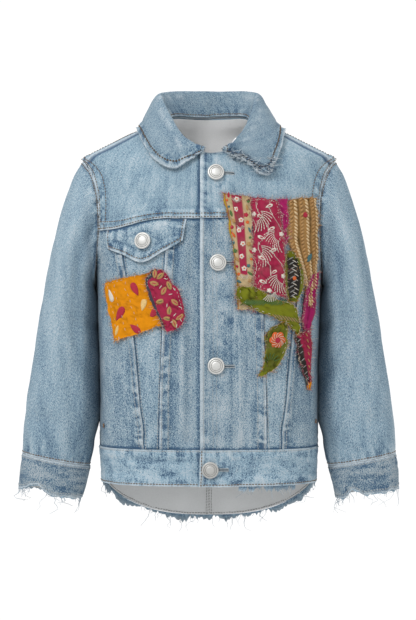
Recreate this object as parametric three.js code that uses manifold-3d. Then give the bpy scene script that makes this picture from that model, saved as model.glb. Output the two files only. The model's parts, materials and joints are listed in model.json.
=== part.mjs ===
// A small child's denim jacket, buttoned and filled out as if worn, hollow inside.
// Millimetres, +Z up, the front faces -Y and the wearer's left is +X.
// The origin is on the middle plane at the height of the neck ends of the shoulder seams.
// Every body panel lies on one closed torso surface. A place on it is (girth, z): girth is 0 at the
// front middle, grows towards +X and is 100 mm for each radian, so a side is at 157 and the back at 314.
import * as THREE from "three";
import Module from "manifold-3d";
import { mergeVertices } from "three/addons/utils/BufferGeometryUtils.js";

const wasm = await Module();
wasm.setup();

// Cloth
const DENIM = 1.6;
const DOUBLED_DENIM = 2.2;
const RAG = 1.0;
const SEAM_GAP = 0.3;
const LAP_RISE = 2.3;
const LAP_RISE_BAND = 2.9;
const LAP_FULL_TO_X = 18;
const LAP_NONE_FROM_X = 34;

// Torso heights
const FRONT_NECK_Z = -39;
const BACK_NECK_Z = 8;
const SHOULDER_TIP_Z = -41;
const UNDERARM_Z = -160;
const YOKE_SEAM_Z = -105;
const YOKE_SEAM_DROP = 11;
const BACK_YOKE_SEAM_Z = -104;
const BAND_SEAM_Z = -338;
const FRONT_HEM_Z = -375;
const BACK_HEM_DROP = 44;

// Girth places
const GIRTH_RADIUS = 100;
const SIDE = (Math.PI / 2) * GIRTH_RADIUS;
const BACK = Math.PI * GIRTH_RADIUS;
const SIDE_SEAM_AT_HEM = 149;
const FRONT_MIDDLE_X = 4;
const OVERLAP_EDGE_X = -9;
const UNDERLAP_EDGE_X = 14;

// Armhole, as half sizes of its loop on the torso surface
const ARMHOLE_FRONT = 36;
const ARMHOLE_BACK = 39;
const ARMHOLE_SQUARE = 2.3;
const ARMHOLE_MIDDLE_Z = (SHOULDER_TIP_Z + UNDERARM_Z) / 2;
const ARMHOLE_HALF_HEIGHT = (SHOULDER_TIP_Z - UNDERARM_Z) / 2;

// Buttons
const BUTTON_RADIUS = 8.5;
const BUTTON_HEIGHT = 3.2;
const BUTTON_NECK_RADIUS = 3.6;
const BUTTON_NECK = 1.3;

// Level sections of the torso: half width, depth in front of and behind the middle plane, and the
// power that makes the oval squarer.
const TORSO = [
  { z: 14, half: 38, front: 26, back: 50, square: 2.0 },
  { z: 0, half: 47, front: 34, back: 58, square: 2.05 },
  { z: -13.6, half: 81.4, front: 46, back: 65, square: 2.1 },
  { z: -22, half: 98.2, front: 52, back: 68, square: 2.15 },
  { z: -30.5, half: 115, front: 57, back: 71, square: 2.2 },
  { z: SHOULDER_TIP_Z, half: 131.8, front: 62, back: 74, square: 2.25 },
  { z: -60, half: 131, front: 69, back: 79, square: 2.35 },
  { z: -80, half: 127.5, front: 74, back: 82, square: 2.45 },
  { z: -105, half: 123.2, front: 79, back: 84, square: 2.55 },
  { z: -135, half: 119.8, front: 83, back: 84, square: 2.65 },
  { z: UNDERARM_Z, half: 117.8, front: 85, back: 83, square: 2.75 },
  { z: -205, half: 115.8, front: 87, back: 81, square: 2.8 },
  { z: -271, half: 113.8, front: 88, back: 80, square: 2.8 },
  { z: BAND_SEAM_Z, half: 113.4, front: 87, back: 79, square: 2.75 },
  { z: FRONT_HEM_Z, half: 111.4, front: 84, back: 77, square: 2.7 },
  { z: -430, half: 107, front: 80, back: 74, square: 2.6 },
];

// Sleeve sections from the armhole to the cuff seam and on to the cuff's edge, on the +X side:
// the outermost and the innermost point seen from the front, half the depth, and the place in depth.
const SLEEVE = [
  { along: 0, outX: 132.4, outZ: -41.4, inX: 118.2, inZ: -159.2, deep: 44, y: 1 },
  { along: 0.06, outX: 141.5, outZ: -57, inX: 120.8, inZ: -160.4, deep: 45.5, y: 1 },
  { along: 0.14, outX: 149.8, outZ: -79, inX: 121.4, inZ: -164, deep: 46.5, y: 1 },
  { along: 0.23, outX: 157.6, outZ: -105, inX: 121.2, inZ: -171, deep: 46.5, y: 1 },
  { along: 0.33, outX: 164.6, outZ: -135, inX: 120.8, inZ: -183, deep: 45.5, y: 0 },
  { along: 0.44, outX: 171.2, outZ: -169, inX: 120.2, inZ: -202, deep: 44, y: -1 },
  { along: 0.57, outX: 178, outZ: -208, inX: 119, inZ: -231, deep: 42, y: -2 },
  { along: 0.7, outX: 184.3, outZ: -250, inX: 118, inZ: -267, deep: 39.5, y: -4 },
  { along: 0.83, outX: 190.6, outZ: -292, inX: 117.6, inZ: -305, deep: 37, y: -6 },
  { along: 0.93, outX: 194.2, outZ: -324, inX: 119.6, inZ: -336, deep: 34, y: -7 },
  { along: 1, outX: 194.8, outZ: -346.5, inX: 124.6, inZ: -359.5, deep: 31, y: -8 },
  { along: 1.05, outX: 197, outZ: -362, inX: 128.4, inZ: -374, deep: 30.5, y: -8.5 },
  { along: 1.12, outX: 198.8, outZ: -383, inX: 133.8, inZ: -394, deep: 29.5, y: -9 },
];
const SLEEVE_SQUARE = 2.15;
const CUFF_END = 1.12;
const CUFF_GAP = 0.0005;
const SLEEVE_AROUND = 20;
const ARMHOLE_BLEND = 0.3;

// Soft troughs (depth over 0) and ridges (under 0) on the torso, each along a line of (girth, z).
const TORSO_FOLDS = [
  { from: [-19, -120], to: [-23, -330], width: 7, depth: 2.2 },
  { from: [46, -235], to: [40, -330], width: 9, depth: 1.4 },
  { from: [124, -246], to: [104, -300], width: 11, depth: 1.8 },
  { from: [-118, -150], to: [-104, -245], width: 10, depth: 1.8 },
  { from: [-60, -318], to: [-20, -330], width: 7, depth: 1.2 },
  { from: [60, -318], to: [110, -322], width: 7, depth: 1.2 },
  { from: [250, -140], to: [225, -260], width: 14, depth: 2.6 },
  { from: [378, -140], to: [403, -260], width: 14, depth: 2.6 },
  { from: [285, -300], to: [280, -400], width: 14, depth: 2.2 },
  { from: [345, -290], to: [352, -400], width: 14, depth: 2.2 },
  { from: [300, -190], to: [330, -195], width: 12, depth: 1.6 },
];

// Creases of a sleeve: the place along it, the turn round it where it is deepest, how far it reaches
// round, its half width along the sleeve, and its depth.
const SLEEVE_CREASES = [
  { along: 0.5, turn: 3.6, reach: 1.1, width: 0.035, depth: 2.6 },
  { along: 0.58, turn: 2.7, reach: 1.2, width: 0.03, depth: 2.2 },
  { along: 0.7, turn: 3.9, reach: 1.2, width: 0.035, depth: 2.2 },
  { along: 0.88, turn: 5.2, reach: 1.0, width: 0.03, depth: 2.4 },
  { along: 0.92, turn: 1.4, reach: 1.2, width: 0.03, depth: 2.2 },
  { along: 0.28, turn: 1.2, reach: 0.9, width: 0.05, depth: 2.0 },
];

const FRONT_SEAMS = {
  // Distance from the front middle of the two seams below each chest pocket place.
  outer: [
    [96, -110.5],
    [91.5, -144],
    [88.4, -163],
    [80.2, -223],
    [75.8, -268],
    [73.4, -295],
    [70.6, -315],
    [70, BAND_SEAM_Z],
  ],
  inner: [
    [45.8, YOKE_SEAM_Z],
    [47.8, -138],
    [50.8, -214.5],
    [52.8, -268],
    [53.8, BAND_SEAM_Z],
  ],
};

// Collar sections from a front end to the back middle: turn round the neck in degrees from the front,
// the roll line and the free edge as seen from the front, and their place in depth. A depth of null
// lets the edge lie on the body.
const COLLAR_RIGHT = [
  { turn: 5, rollX: 5, rollZ: -34, rollY: -63.5, edgeX: 7, edgeZ: -39, edgeY: null },
  { turn: 16, rollX: 13.7, rollZ: -30.5, rollY: -60.5, edgeX: 19, edgeZ: -46, edgeY: null },
  { turn: 31, rollX: 25, rollZ: -22, rollY: -53, edgeX: 33, edgeZ: -54.6, edgeY: null },
  { turn: 47, rollX: 33, rollZ: -11, rollY: -44, edgeX: 46, edgeZ: -52, edgeY: null },
  { turn: 60, rollX: 39, rollZ: 0, rollY: -34, edgeX: 57.5, edgeZ: -43, edgeY: null },
  { turn: 71, rollX: 43, rollZ: 9, rollY: -23, edgeX: 65.5, edgeZ: -31, edgeY: null },
  { turn: 82, rollX: 47, rollZ: 18, rollY: -11, edgeX: 71.5, edgeZ: -18, edgeY: null },
  { turn: 92, rollX: 49.5, rollZ: 25, rollY: 1, edgeX: 74, edgeZ: -10.5, edgeY: 2 },
  { turn: 112, rollX: 50, rollZ: 31, rollY: 24, edgeX: 71, edgeZ: -6, edgeY: 36 },
  { turn: 134, rollX: 39, rollZ: 34.5, rollY: 43, edgeX: 56, edgeZ: -6, edgeY: 60 },
  { turn: 157, rollX: 21, rollZ: 36, rollY: 53, edgeX: 30, edgeZ: -6, edgeY: 74 },
  { turn: 180, rollX: 0, rollZ: 36.5, rollY: 56, edgeX: 0, edgeZ: -6, edgeY: 79 },
];
const COLLAR_LEFT = [
  { turn: 13, rollX: 15.5, rollZ: -33.5, rollY: -65, edgeX: 17.5, edgeZ: -39.5, edgeY: null },
  { turn: 22, rollX: 20.5, rollZ: -31, rollY: -61.5, edgeX: 27, edgeZ: -44, edgeY: null },
  { turn: 33, rollX: 26, rollZ: -26, rollY: -54, edgeX: 38, edgeZ: -48, edgeY: null },
  { turn: 46, rollX: 34, rollZ: -17, rollY: -45, edgeX: 50, edgeZ: -59.5, edgeY: null },
  { turn: 56, rollX: 38.5, rollZ: -8, rollY: -37, edgeX: 60.5, edgeZ: -60, edgeY: null },
  { turn: 65, rollX: 41.5, rollZ: 0, rollY: -29, edgeX: 66, edgeZ: -50, edgeY: null },
  { turn: 74, rollX: 44.5, rollZ: 8, rollY: -20, edgeX: 72.5, edgeZ: -35, edgeY: null },
  { turn: 83, rollX: 46.5, rollZ: 16, rollY: -10, edgeX: 76, edgeZ: -20, edgeY: null },
  { turn: 92, rollX: 48, rollZ: 23, rollY: 1, edgeX: 76.5, edgeZ: -11.5, edgeY: 2 },
  ...COLLAR_RIGHT.slice(8),
];
const ROLL_RADIUS = 2.6;
const COLLAR_CLEAR = 1.6;
const COLLAR_SEAM_GAP = 2;
const COLLAR_STAND_POINTS = 4;
const COLLAR_GRID = 18;

// Buttons on the overlap, and one on the pocket flap: frontal place and how far out the cloth is.
const BUTTONS = [
  { name: "front_button_1", x: 7, z: -59, out: LAP_RISE },
  { name: "front_button_2", x: 9, z: -150, out: LAP_RISE },
  { name: "front_button_3", x: 7, z: -253.5, out: LAP_RISE },
  { name: "waist_button", x: 1.2, z: -357.5, out: LAP_RISE_BAND + 0.5 },
  { name: "pocket_button", x: -65.6, z: -128, out: 3.3 },
];

// Rags sewn on the fronts, as rows from the top down: the left and the right end of each row, seen
// from the front. A layer is how many cloths it lies on.
const RAGS = [
  {
    name: "patch_orange",
    layer: 0,
    color: 0xd98a1c,
    rows: [
      { left: [-106, -170.5], right: [-55, -159.2] },
      { left: [-104, -186], right: [-54, -177] },
      { left: [-100, -202], right: [-51, -194] },
      { left: [-97.5, -217], right: [-49, -206] },
      { left: [-94.6, -229.8], right: [-48, -213.3] },
    ],
  },
  {
    name: "patch_leaf_print",
    layer: 1,
    color: 0xa83a52,
    rows: [
      { left: [-57, -157.5], right: [-47, -156.5] },
      { left: [-62.5, -167], right: [-38.5, -166] },
      { left: [-59, -183], right: [-29, -180] },
      { left: [-53, -198.5], right: [-24.3, -199] },
      { left: [-47, -210.5], right: [-26.5, -211.5] },
      { left: [-43, -217.5], right: [-35, -218] },
    ],
  },
  {
    name: "patch_strip",
    layer: 0,
    color: 0xcfa35c,
    rows: [
      { left: [13.4, -80.6], right: [42, -83] },
      { left: [17.5, -97], right: [43, -105] },
      { left: [21, -119], right: [43.5, -128] },
      { left: [24.5, -145], right: [43.5, -150] },
      { left: [27, -168], right: [44.5, -174] },
      { left: [28.5, -196], right: [46, -198] },
    ],
  },
  {
    name: "patch_block_print",
    layer: 0,
    color: 0xa23f50,
    rows: [
      { left: [42, -83], right: [70, -86] },
      { left: [43, -105], right: [72, -110] },
      { left: [43.5, -128], right: [75, -134] },
      { left: [43.5, -150], right: [76.5, -158] },
      { left: [44.5, -174], right: [77.7, -184] },
    ],
  },
  {
    name: "patch_pink_slip",
    layer: 0,
    color: 0xb23a72,
    rows: [
      { left: [70, -86], right: [80, -85.5] },
      { left: [72, -110], right: [79, -110] },
      { left: [75, -133], right: [78.2, -130] },
    ],
  },
  {
    name: "patch_braid",
    layer: 0,
    color: 0xb9904f,
    rows: [
      { left: [80.8, -85.5], right: [107.5, -82] },
      { left: [79.8, -110], right: [110, -101] },
      { left: [79.5, -130], right: [109.5, -125] },
      { left: [87, -150], right: [108.5, -150] },
      { left: [95, -172], right: [106.5, -170] },
      { left: [99, -193], right: [104.5, -193] },
    ],
  },
  {
    name: "patch_dark_leaf",
    layer: 1,
    color: 0x4b4d22,
    rows: [
      { left: [79.5, -138], right: [84, -138.5] },
      { left: [75.5, -150], right: [91, -152] },
      { left: [75, -165], right: [93, -166] },
      { left: [76, -180], right: [91, -180] },
      { left: [80, -190], right: [86, -190] },
    ],
  },
  {
    name: "patch_green_leaf",
    layer: 1,
    color: 0x77801f,
    rows: [
      { left: [29, -175], right: [48, -174.5] },
      { left: [27, -184], right: [63, -184] },
      { left: [36, -193], right: [84, -192.5] },
      { left: [56, -201], right: [88, -204] },
      { left: [73, -208], right: [89.5, -214] },
      { left: [82, -216.5], right: [88.5, -222] },
    ],
  },
  {
    name: "patch_pink_ribbon",
    layer: 1,
    color: 0xa82a58,
    rows: [
      { left: [102.5, -160.5], right: [109.5, -160] },
      { left: [99, -170], right: [108, -170] },
      { left: [96.5, -182], right: [106, -182] },
      { left: [93.5, -196], right: [104.5, -199] },
      { left: [92.5, -218], right: [98, -219] },
    ],
  },
  {
    name: "patch_hanging_leaf",
    layer: 0,
    color: 0x80802a,
    rows: [
      { left: [71, -209], right: [77, -210] },
      { left: [60.5, -218], right: [78.5, -222] },
      { left: [56.2, -228], right: [77.5, -234] },
      { left: [56.5, -242], right: [74, -245] },
      { left: [54.5, -255], right: [65, -258] },
      { left: [50.5, -262.5], right: [54, -263.5] },
    ],
  },
  {
    name: "patch_hanging_tail",
    layer: 0,
    color: 0x53452c,
    rows: [
      { left: [85.5, -226], right: [101, -216] },
      { left: [88, -238], right: [103, -233] },
      { left: [93, -256], right: [102.5, -252] },
      { left: [98, -271], right: [103.5, -266] },
      { left: [101, -279], right: [103, -279.5] },
    ],
  },
];
const RAG_STEP = 1.5;
const RAG_GRID = 9;
const RAG_CLEAR = 0.5;

const FLAP = {
  top: [
    [-103.6, -114.9],
    [-88, -110.4],
    [-66, -106.4],
    [-44, -105.6],
    [-22.6, -105.6],
  ],
  bottom: [
    [-101.5, -135],
    [-86, -141.5],
    [-66.7, -149.6],
    [-46, -139],
    [-26.3, -127.5],
  ],
};

// Frays hang from cloth edges. Strands are three-sided and taper to nothing.
const STRAND_RADIUS = 0.55;
const FRAY_SEED = 11;

const DENIM_COLORS = { face: 0x8fabbe, yoke: 0x98b0c0, dark: 0x7d99ad, edge: 0x5f7f9c };

// Smooth interpolation of one column of a table, without overshoot between its rows.
function column(table, at, name) {
  const xs = table.map((row) => row[at]);
  const ys = table.map((row) => row[name]);
  const order = xs[1] > xs[0] ? 1 : -1;
  const slopes = ys.slice(1).map((y, i) => (y - ys[i]) / (xs[i + 1] - xs[i]));
  const tangents = ys.map((_, i) => {
    if (i === 0 || i === ys.length - 1) return slopes[Math.min(i, slopes.length - 1)];
    const [before, after] = [slopes[i - 1], slopes[i]];
    return before * after <= 0 ? 0 : (2 * before * after) / (before + after);
  });
  return (x) => {
    let i = 0;
    while (i < xs.length - 2 && order * (x - xs[i + 1]) > 0) i += 1;
    const span = xs[i + 1] - xs[i];
    const t = THREE.MathUtils.clamp((x - xs[i]) / span, 0, 1);
    const [t2, t3] = [t * t, t * t * t];
    return (
      ys[i] * (2 * t3 - 3 * t2 + 1) +
      tangents[i] * span * (t3 - 2 * t2 + t) +
      ys[i + 1] * (3 * t2 - 2 * t3) +
      tangents[i + 1] * span * (t3 - t2)
    );
  };
}

const columns = (table, at, names) =>
  Object.fromEntries(names.map((name) => [name, column(table, at, name)]));
const torso = columns(TORSO, "z", ["half", "front", "back", "square"]);
const sleeve = columns(SLEEVE, "along", ["outX", "outZ", "inX", "inZ", "deep", "y"]);
const smoothstep = THREE.MathUtils.smoothstep;

// A seeded generator, so that the frays are the same each time.
function random(seed) {
  let state = seed;
  return () => {
    state = (state * 1664525 + 1013904223) % 4294967296;
    return state / 4294967296;
  };
}

function distanceToLine(girth, z, fold) {
  const [gx, gz] = [fold.to[0] - fold.from[0], fold.to[1] - fold.from[1]];
  const long = gx * gx + gz * gz;
  const t = THREE.MathUtils.clamp(
    ((girth - fold.from[0]) * gx + (z - fold.from[1]) * gz) / long,
    0,
    1,
  );
  return Math.hypot(girth - fold.from[0] - gx * t, z - fold.from[1] - gz * t);
}

// How far the folds move the torso surface out at a place.
function torsoRelief(girth, z) {
  const places = [girth, girth + 2 * BACK];
  return TORSO_FOLDS.reduce((sum, fold) => {
    const near = Math.min(...places.map((g) => distanceToLine(g, z, fold)));
    return sum - fold.depth * Math.exp(-((near / fold.width) ** 2));
  }, 0);
}

function torsoBare(girth, z) {
  const angle = girth / GIRTH_RADIUS;
  const [s, c] = [Math.sin(angle), Math.cos(angle)];
  const depth = c > 0 ? torso.front(z) : torso.back(z);
  const power = torso.square(z);
  const radius =
    (Math.abs(c / depth) ** power + Math.abs(s / torso.half(z)) ** power) ** (-1 / power);
  return new THREE.Vector3(radius * s, -radius * c, z);
}

// A point of the torso surface, moved out along its normal.
function torsoPoint(girth, z, out = 0) {
  const step = 0.5;
  const across = torsoBare(girth + step, z).sub(torsoBare(girth - step, z));
  const down = torsoBare(girth, z - step).sub(torsoBare(girth, z + step));
  const normal = down.cross(across).normalize();
  return torsoBare(girth, z).addScaledVector(normal, out + torsoRelief(girth, z));
}

// The girth at which the front surface is at x, seen from the front.
function girthAt(x, z) {
  const share = Math.min(Math.abs(x) / torso.half(z), 0.9999);
  const power = torso.square(z);
  const y = torso.front(z) * (1 - share ** power) ** (1 / power);
  return Math.atan2(x, y) * GIRTH_RADIUS;
}

const lapAt = (x, rise) => rise * (1 - smoothstep(x, LAP_FULL_TO_X, LAP_NONE_FROM_X));

// A curve through places on the torso, each (girth, z).
const through = (places) => new THREE.SplineCurve(places.map(([g, z]) => new THREE.Vector2(g, z)));
const seenFromFront = (points) => through(points.map(([x, z]) => [girthAt(x, z), z]));
const along = (curve) => (t) => curve.getPoint(t);
const backwards = (edge) => (t) => edge(1 - t);

// Several edges as one: each with the share of the whole that it takes.
function joined(...parts) {
  return (t) => {
    let start = 0;
    for (const [edge, share] of parts) {
      if (t <= start + share || edge === parts.at(-1)[0])
        return edge(THREE.MathUtils.clamp((t - start) / share, 0, 1));
      start += share;
    }
    return null;
  };
}

// Places of a panel between its four edges: top and bottom run across, left and right run down.
function panelPlace({ top, bottom, left, right }, u, v) {
  const place = new THREE.Vector2();
  place.addScaledVector(top(u), 1 - v).addScaledVector(bottom(u), v);
  place.addScaledVector(left(v), 1 - u).addScaledVector(right(v), u);
  place.addScaledVector(top(0), -(1 - u) * (1 - v)).addScaledVector(top(1), -u * (1 - v));
  place.addScaledVector(bottom(0), -(1 - u) * v).addScaledVector(bottom(1), -u * v);
  return place;
}

// A closed solid from two like grids of points, the face and the underside. A tube closes across.
function wall(face, underside, tube = false) {
  const rows = face.length;
  const count = face[0].length;
  const positions = [...face.flat(), ...underside.flat()].flatMap((p) => p.toArray());
  const index = [];
  const at = (row, i, under) => (under ? rows * count : 0) + row * count + (i % count);
  const quad = (a, b, c, d) => index.push(a, b, c, a, c, d);
  const across = tube ? count : count - 1;
  for (let row = 0; row < rows - 1; row += 1)
    for (let i = 0; i < across; i += 1) {
      quad(at(row, i), at(row + 1, i), at(row + 1, i + 1), at(row, i + 1));
      quad(at(row, i, 1), at(row, i + 1, 1), at(row + 1, i + 1, 1), at(row + 1, i, 1));
    }
  for (let i = 0; i < across; i += 1) {
    quad(at(0, i), at(0, i + 1), at(0, i + 1, 1), at(0, i, 1));
    quad(at(rows - 1, i + 1), at(rows - 1, i), at(rows - 1, i, 1), at(rows - 1, i + 1, 1));
  }
  for (let row = 0; row < rows - 1 && !tube; row += 1) {
    quad(at(row + 1, 0), at(row, 0), at(row, 0, 1), at(row + 1, 0, 1));
    quad(at(row, count - 1), at(row + 1, count - 1), at(row + 1, count - 1, 1), at(row, count - 1, 1));
  }
  const geometry = new THREE.BufferGeometry();
  geometry.setAttribute("position", new THREE.Float32BufferAttribute(positions, 3));
  geometry.setIndex(index);
  return facingOut(geometry);
}

function signedVolume(geometry) {
  const position = geometry.getAttribute("position");
  const corner = (i) => new THREE.Vector3().fromBufferAttribute(position, geometry.index.getX(i));
  let six = 0;
  for (let i = 0; i < geometry.index.count; i += 3)
    six += corner(i).dot(corner(i + 1).cross(corner(i + 2)));
  return six / 6;
}

function facingOut(geometry) {
  if (signedVolume(geometry) < 0) {
    const turned = geometry.index.array;
    for (let i = 0; i < turned.length; i += 3) [turned[i], turned[i + 1]] = [turned[i + 1], turned[i]];
  }
  return geometry;
}

// A panel of cloth on the torso. outAt gives how far out its face is at a place.
function panelSolid(edges, across, down, { thick = DENIM, outAt = () => 0, width = 40, height = 60 }) {
  const [edgeU, edgeV] = [SEAM_GAP / 2 / width, SEAM_GAP / 2 / height];
  const [face, underside] = [[], []];
  for (let j = 0; j <= down; j += 1) {
    const v = THREE.MathUtils.lerp(edgeV, 1 - edgeV, j / down);
    const places = Array.from({ length: across + 1 }, (_, i) =>
      panelPlace(edges, THREE.MathUtils.lerp(edgeU, 1 - edgeU, i / across), v),
    );
    const outs = places.map((p) => outAt(torsoBare(p.x, p.y).x, p.y));
    face.push(places.map((p, i) => torsoPoint(p.x, p.y, outs[i])));
    underside.push(places.map((p, i) => torsoPoint(p.x, p.y, outs[i] - thick)));
  }
  return wall(face, underside);
}

// Armhole place: turn is 0 at the shoulder tip, a quarter turn is at the back, a half is underneath.
function armholePlace(turn, inset = 0) {
  const [c, s] = [Math.cos(turn), Math.sin(turn)];
  const k = (Math.abs(c) ** ARMHOLE_SQUARE + Math.abs(s) ** ARMHOLE_SQUARE) ** (-1 / ARMHOLE_SQUARE);
  const reach = (s > 0 ? ARMHOLE_BACK : ARMHOLE_FRONT) - inset;
  return [SIDE + reach * k * s, ARMHOLE_MIDDLE_Z + (ARMHOLE_HALF_HEIGHT - inset) * k * c];
}

// How far round the armhole the yoke seams end, at the back and at the front.
const YOKE_TURN = 0.535 * Math.PI;
const FRONT_YOKE_TURN = 0.5822 * Math.PI;

const armholeEdge = (fromTurn, toTurn) =>
  along(
    through(
      Array.from({ length: 13 }, (_, i) =>
        armholePlace(THREE.MathUtils.lerp(fromTurn, toTurn, i / 12)),
      ),
    ),
  );

function yokeSeamZ(x) {
  const reach = smoothstep(Math.abs(x - FRONT_MIDDLE_X), 50, 112);
  return YOKE_SEAM_Z - YOKE_SEAM_DROP * reach;
}

const yokeEnd = armholePlace(-FRONT_YOKE_TURN);
const sideSeam = through([
  [SIDE, UNDERARM_Z],
  [SIDE - 3, -250],
  [SIDE_SEAM_AT_HEM + 1, BAND_SEAM_Z],
]);

// A stretch of the front yoke seam or of the band seam, from one frontal x to another.
const levelEdge = (fromX, toX, zAt) =>
  along(
    seenFromFront(
      Array.from({ length: 9 }, (_, i) => {
        const x = THREE.MathUtils.lerp(fromX, toX, i / 8);
        return [x, zAt(x)];
      }),
    ),
  );

const mirrored = (edge) => (t) => {
  const place = edge(t);
  return new THREE.Vector2(-place.x, place.y);
};
const mirroredEdges = (edges) =>
  Object.fromEntries(Object.entries(edges).map(([name, edge]) => [name, mirrored(edge)]));

// A seam below the pocket place, on the side of the front that side says: 1 is +X.
const frontSeam = (name, side) =>
  seenFromFront(
    FRONT_SEAMS[name].map(([reach, z], i) => {
      const x = FRONT_MIDDLE_X + side * reach;
      return [x, i === 0 ? yokeSeamZ(x) : z];
    }),
  );

const neckEdge = (endX) =>
  along(
    through(
      Array.from({ length: 11 }, (_, i) => {
        const start = girthAt(endX, FRONT_NECK_Z);
        const girth = THREE.MathUtils.lerp(SIDE, start, i / 10);
        return [girth, frontNeckZ(girth)];
      }),
    ),
  );

function frontNeckZ(girth) {
  return FRONT_NECK_Z * Math.max(Math.cos(girth / GIRTH_RADIUS), 0) ** 1.8;
}

function neckZ(girth) {
  const c = Math.cos(girth / GIRTH_RADIUS);
  return c > 0 ? frontNeckZ(girth) : BACK_NECK_Z * (1 - (1 + c) ** 2);
}

// The front panels of one side. The +X side laps over the other, and its cloth rises over it.
function frontPanels(side) {
  const left = side > 0;
  const edgeX = left ? OVERLAP_EDGE_X : UNDERLAP_EDGE_X;
  const outAt = left ? (x) => lapAt(x, LAP_RISE) : () => 0;
  const [outer, inner] = [frontSeam("outer", side), frontSeam("inner", side)];
  const outerX = FRONT_MIDDLE_X + side * FRONT_SEAMS.outer[0][0];
  const innerX = FRONT_MIDDLE_X + side * FRONT_SEAMS.inner[0][0];
  const footX = (name) => FRONT_MIDDLE_X + side * FRONT_SEAMS[name].at(-1)[0];
  const atBand = () => BAND_SEAM_Z;
  const flip = left ? (edge) => edge : mirrored;
  const yokeEndX = torsoBare(...yokeEnd).x;
  const sideX = torsoBare(SIDE_SEAM_AT_HEM + 1, BAND_SEAM_Z).x;
  const bandPlace = new THREE.Vector2(SIDE_SEAM_AT_HEM + 1, BAND_SEAM_Z);
  // These run on the side of the front given, so only the armhole and side seam are mirrored.
  const yokeSeam = (fromX, toX) => levelEdge(fromX, toX, yokeSeamZ);
  const yokeToArm = (fromX) => endingAt(yokeSeam(fromX, side * yokeEndX), flip(() => place(yokeEnd))());
  const bandToSide = (fromX) => endingAt(levelEdge(fromX, side * sideX, atBand), flip(() => bandPlace)());
  const centre = along(
    seenFromFront([
      [edgeX, FRONT_NECK_Z],
      [edgeX, -70],
      [edgeX, YOKE_SEAM_Z],
    ]),
  );
  return {
    yoke: panelSolid(
      {
        top: flip(along(through([[SIDE, 0], [SIDE, -13.6], [SIDE, -27], [SIDE, SHOULDER_TIP_Z]]))),
        bottom: yokeToArm(edgeX),
        left: joined([flip(neckEdge(side * edgeX)), 0.5], [centre, 0.5]),
        right: flip(armholeEdge(0, -FRONT_YOKE_TURN)),
      },
      11,
      12,
      { outAt },
    ),
    side: panelSolid(
      {
        top: yokeToArm(outerX),
        bottom: bandToSide(footX("outer")),
        left: along(outer),
        right: flip(joined([armholeEdge(-FRONT_YOKE_TURN, -Math.PI), 4 / 15], [along(sideSeam), 11 / 15])),
      },
      5,
      15,
      { width: 24 },
    ),
    tapered: panelSolid(
      {
        top: yokeSeam(innerX, outerX),
        bottom: levelEdge(footX("inner"), footX("outer"), atBand),
        left: along(inner),
        right: along(outer),
      },
      4,
      15,
      { width: 18 },
    ),
    centre: panelSolid(
      {
        top: yokeSeam(edgeX, innerX),
        bottom: levelEdge(edgeX, footX("inner"), atBand),
        left: along(seenFromFront([[edgeX, YOKE_SEAM_Z], [edgeX, -220], [edgeX, BAND_SEAM_Z]])),
        right: along(inner),
      },
      left ? 9 : 5,
      15,
      { outAt },
    ),
    band: panelSolid(
      {
        top: bandToSide(edgeX),
        bottom: endingAt(
          levelEdge(edgeX, side * torsoBare(SIDE_SEAM_AT_HEM, FRONT_HEM_Z).x, () => FRONT_HEM_Z),
          new THREE.Vector2(side * SIDE_SEAM_AT_HEM, FRONT_HEM_Z),
        ),
        left: along(seenFromFront([[edgeX, BAND_SEAM_Z], [edgeX - side, FRONT_HEM_Z]])),
        right: flip(along(through([[SIDE_SEAM_AT_HEM + 1, BAND_SEAM_Z], [SIDE_SEAM_AT_HEM, FRONT_HEM_Z]]))),
      },
      left ? 16 : 12,
      3,
      {
        thick: DOUBLED_DENIM,
        outAt: left ? (x) => 0.5 + lapAt(x, LAP_RISE_BAND) : () => 0.5,
        height: 30,
      },
    ),
  };
}

const place = ([girth, z]) => new THREE.Vector2(girth, z);

// An edge whose far end is drawn to an exact place, so that edges meet at corners.
function endingAt(edge, end) {
  const miss = end.clone().sub(edge(1));
  return (t) => edge(t).clone().addScaledVector(miss, t * t);
}

// The back hem is cut in a curve that drops from the side seams to the middle.
function backHemZ(girth) {
  const reach = Math.abs(torsoBare(girth, -400).x) / torso.half(-400);
  return FRONT_HEM_Z - 1 - BACK_HEM_DROP * (1 - Math.min(reach, 1) ** 2.6) ** 0.625;
}

const backEdge = (fromGirth, toGirth, zAt, count = 13) =>
  along(
    through(
      Array.from({ length: count }, (_, i) => {
        const girth = THREE.MathUtils.lerp(fromGirth, toGirth, i / (count - 1));
        return [girth, zAt(girth)];
      }),
    ),
  );

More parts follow.
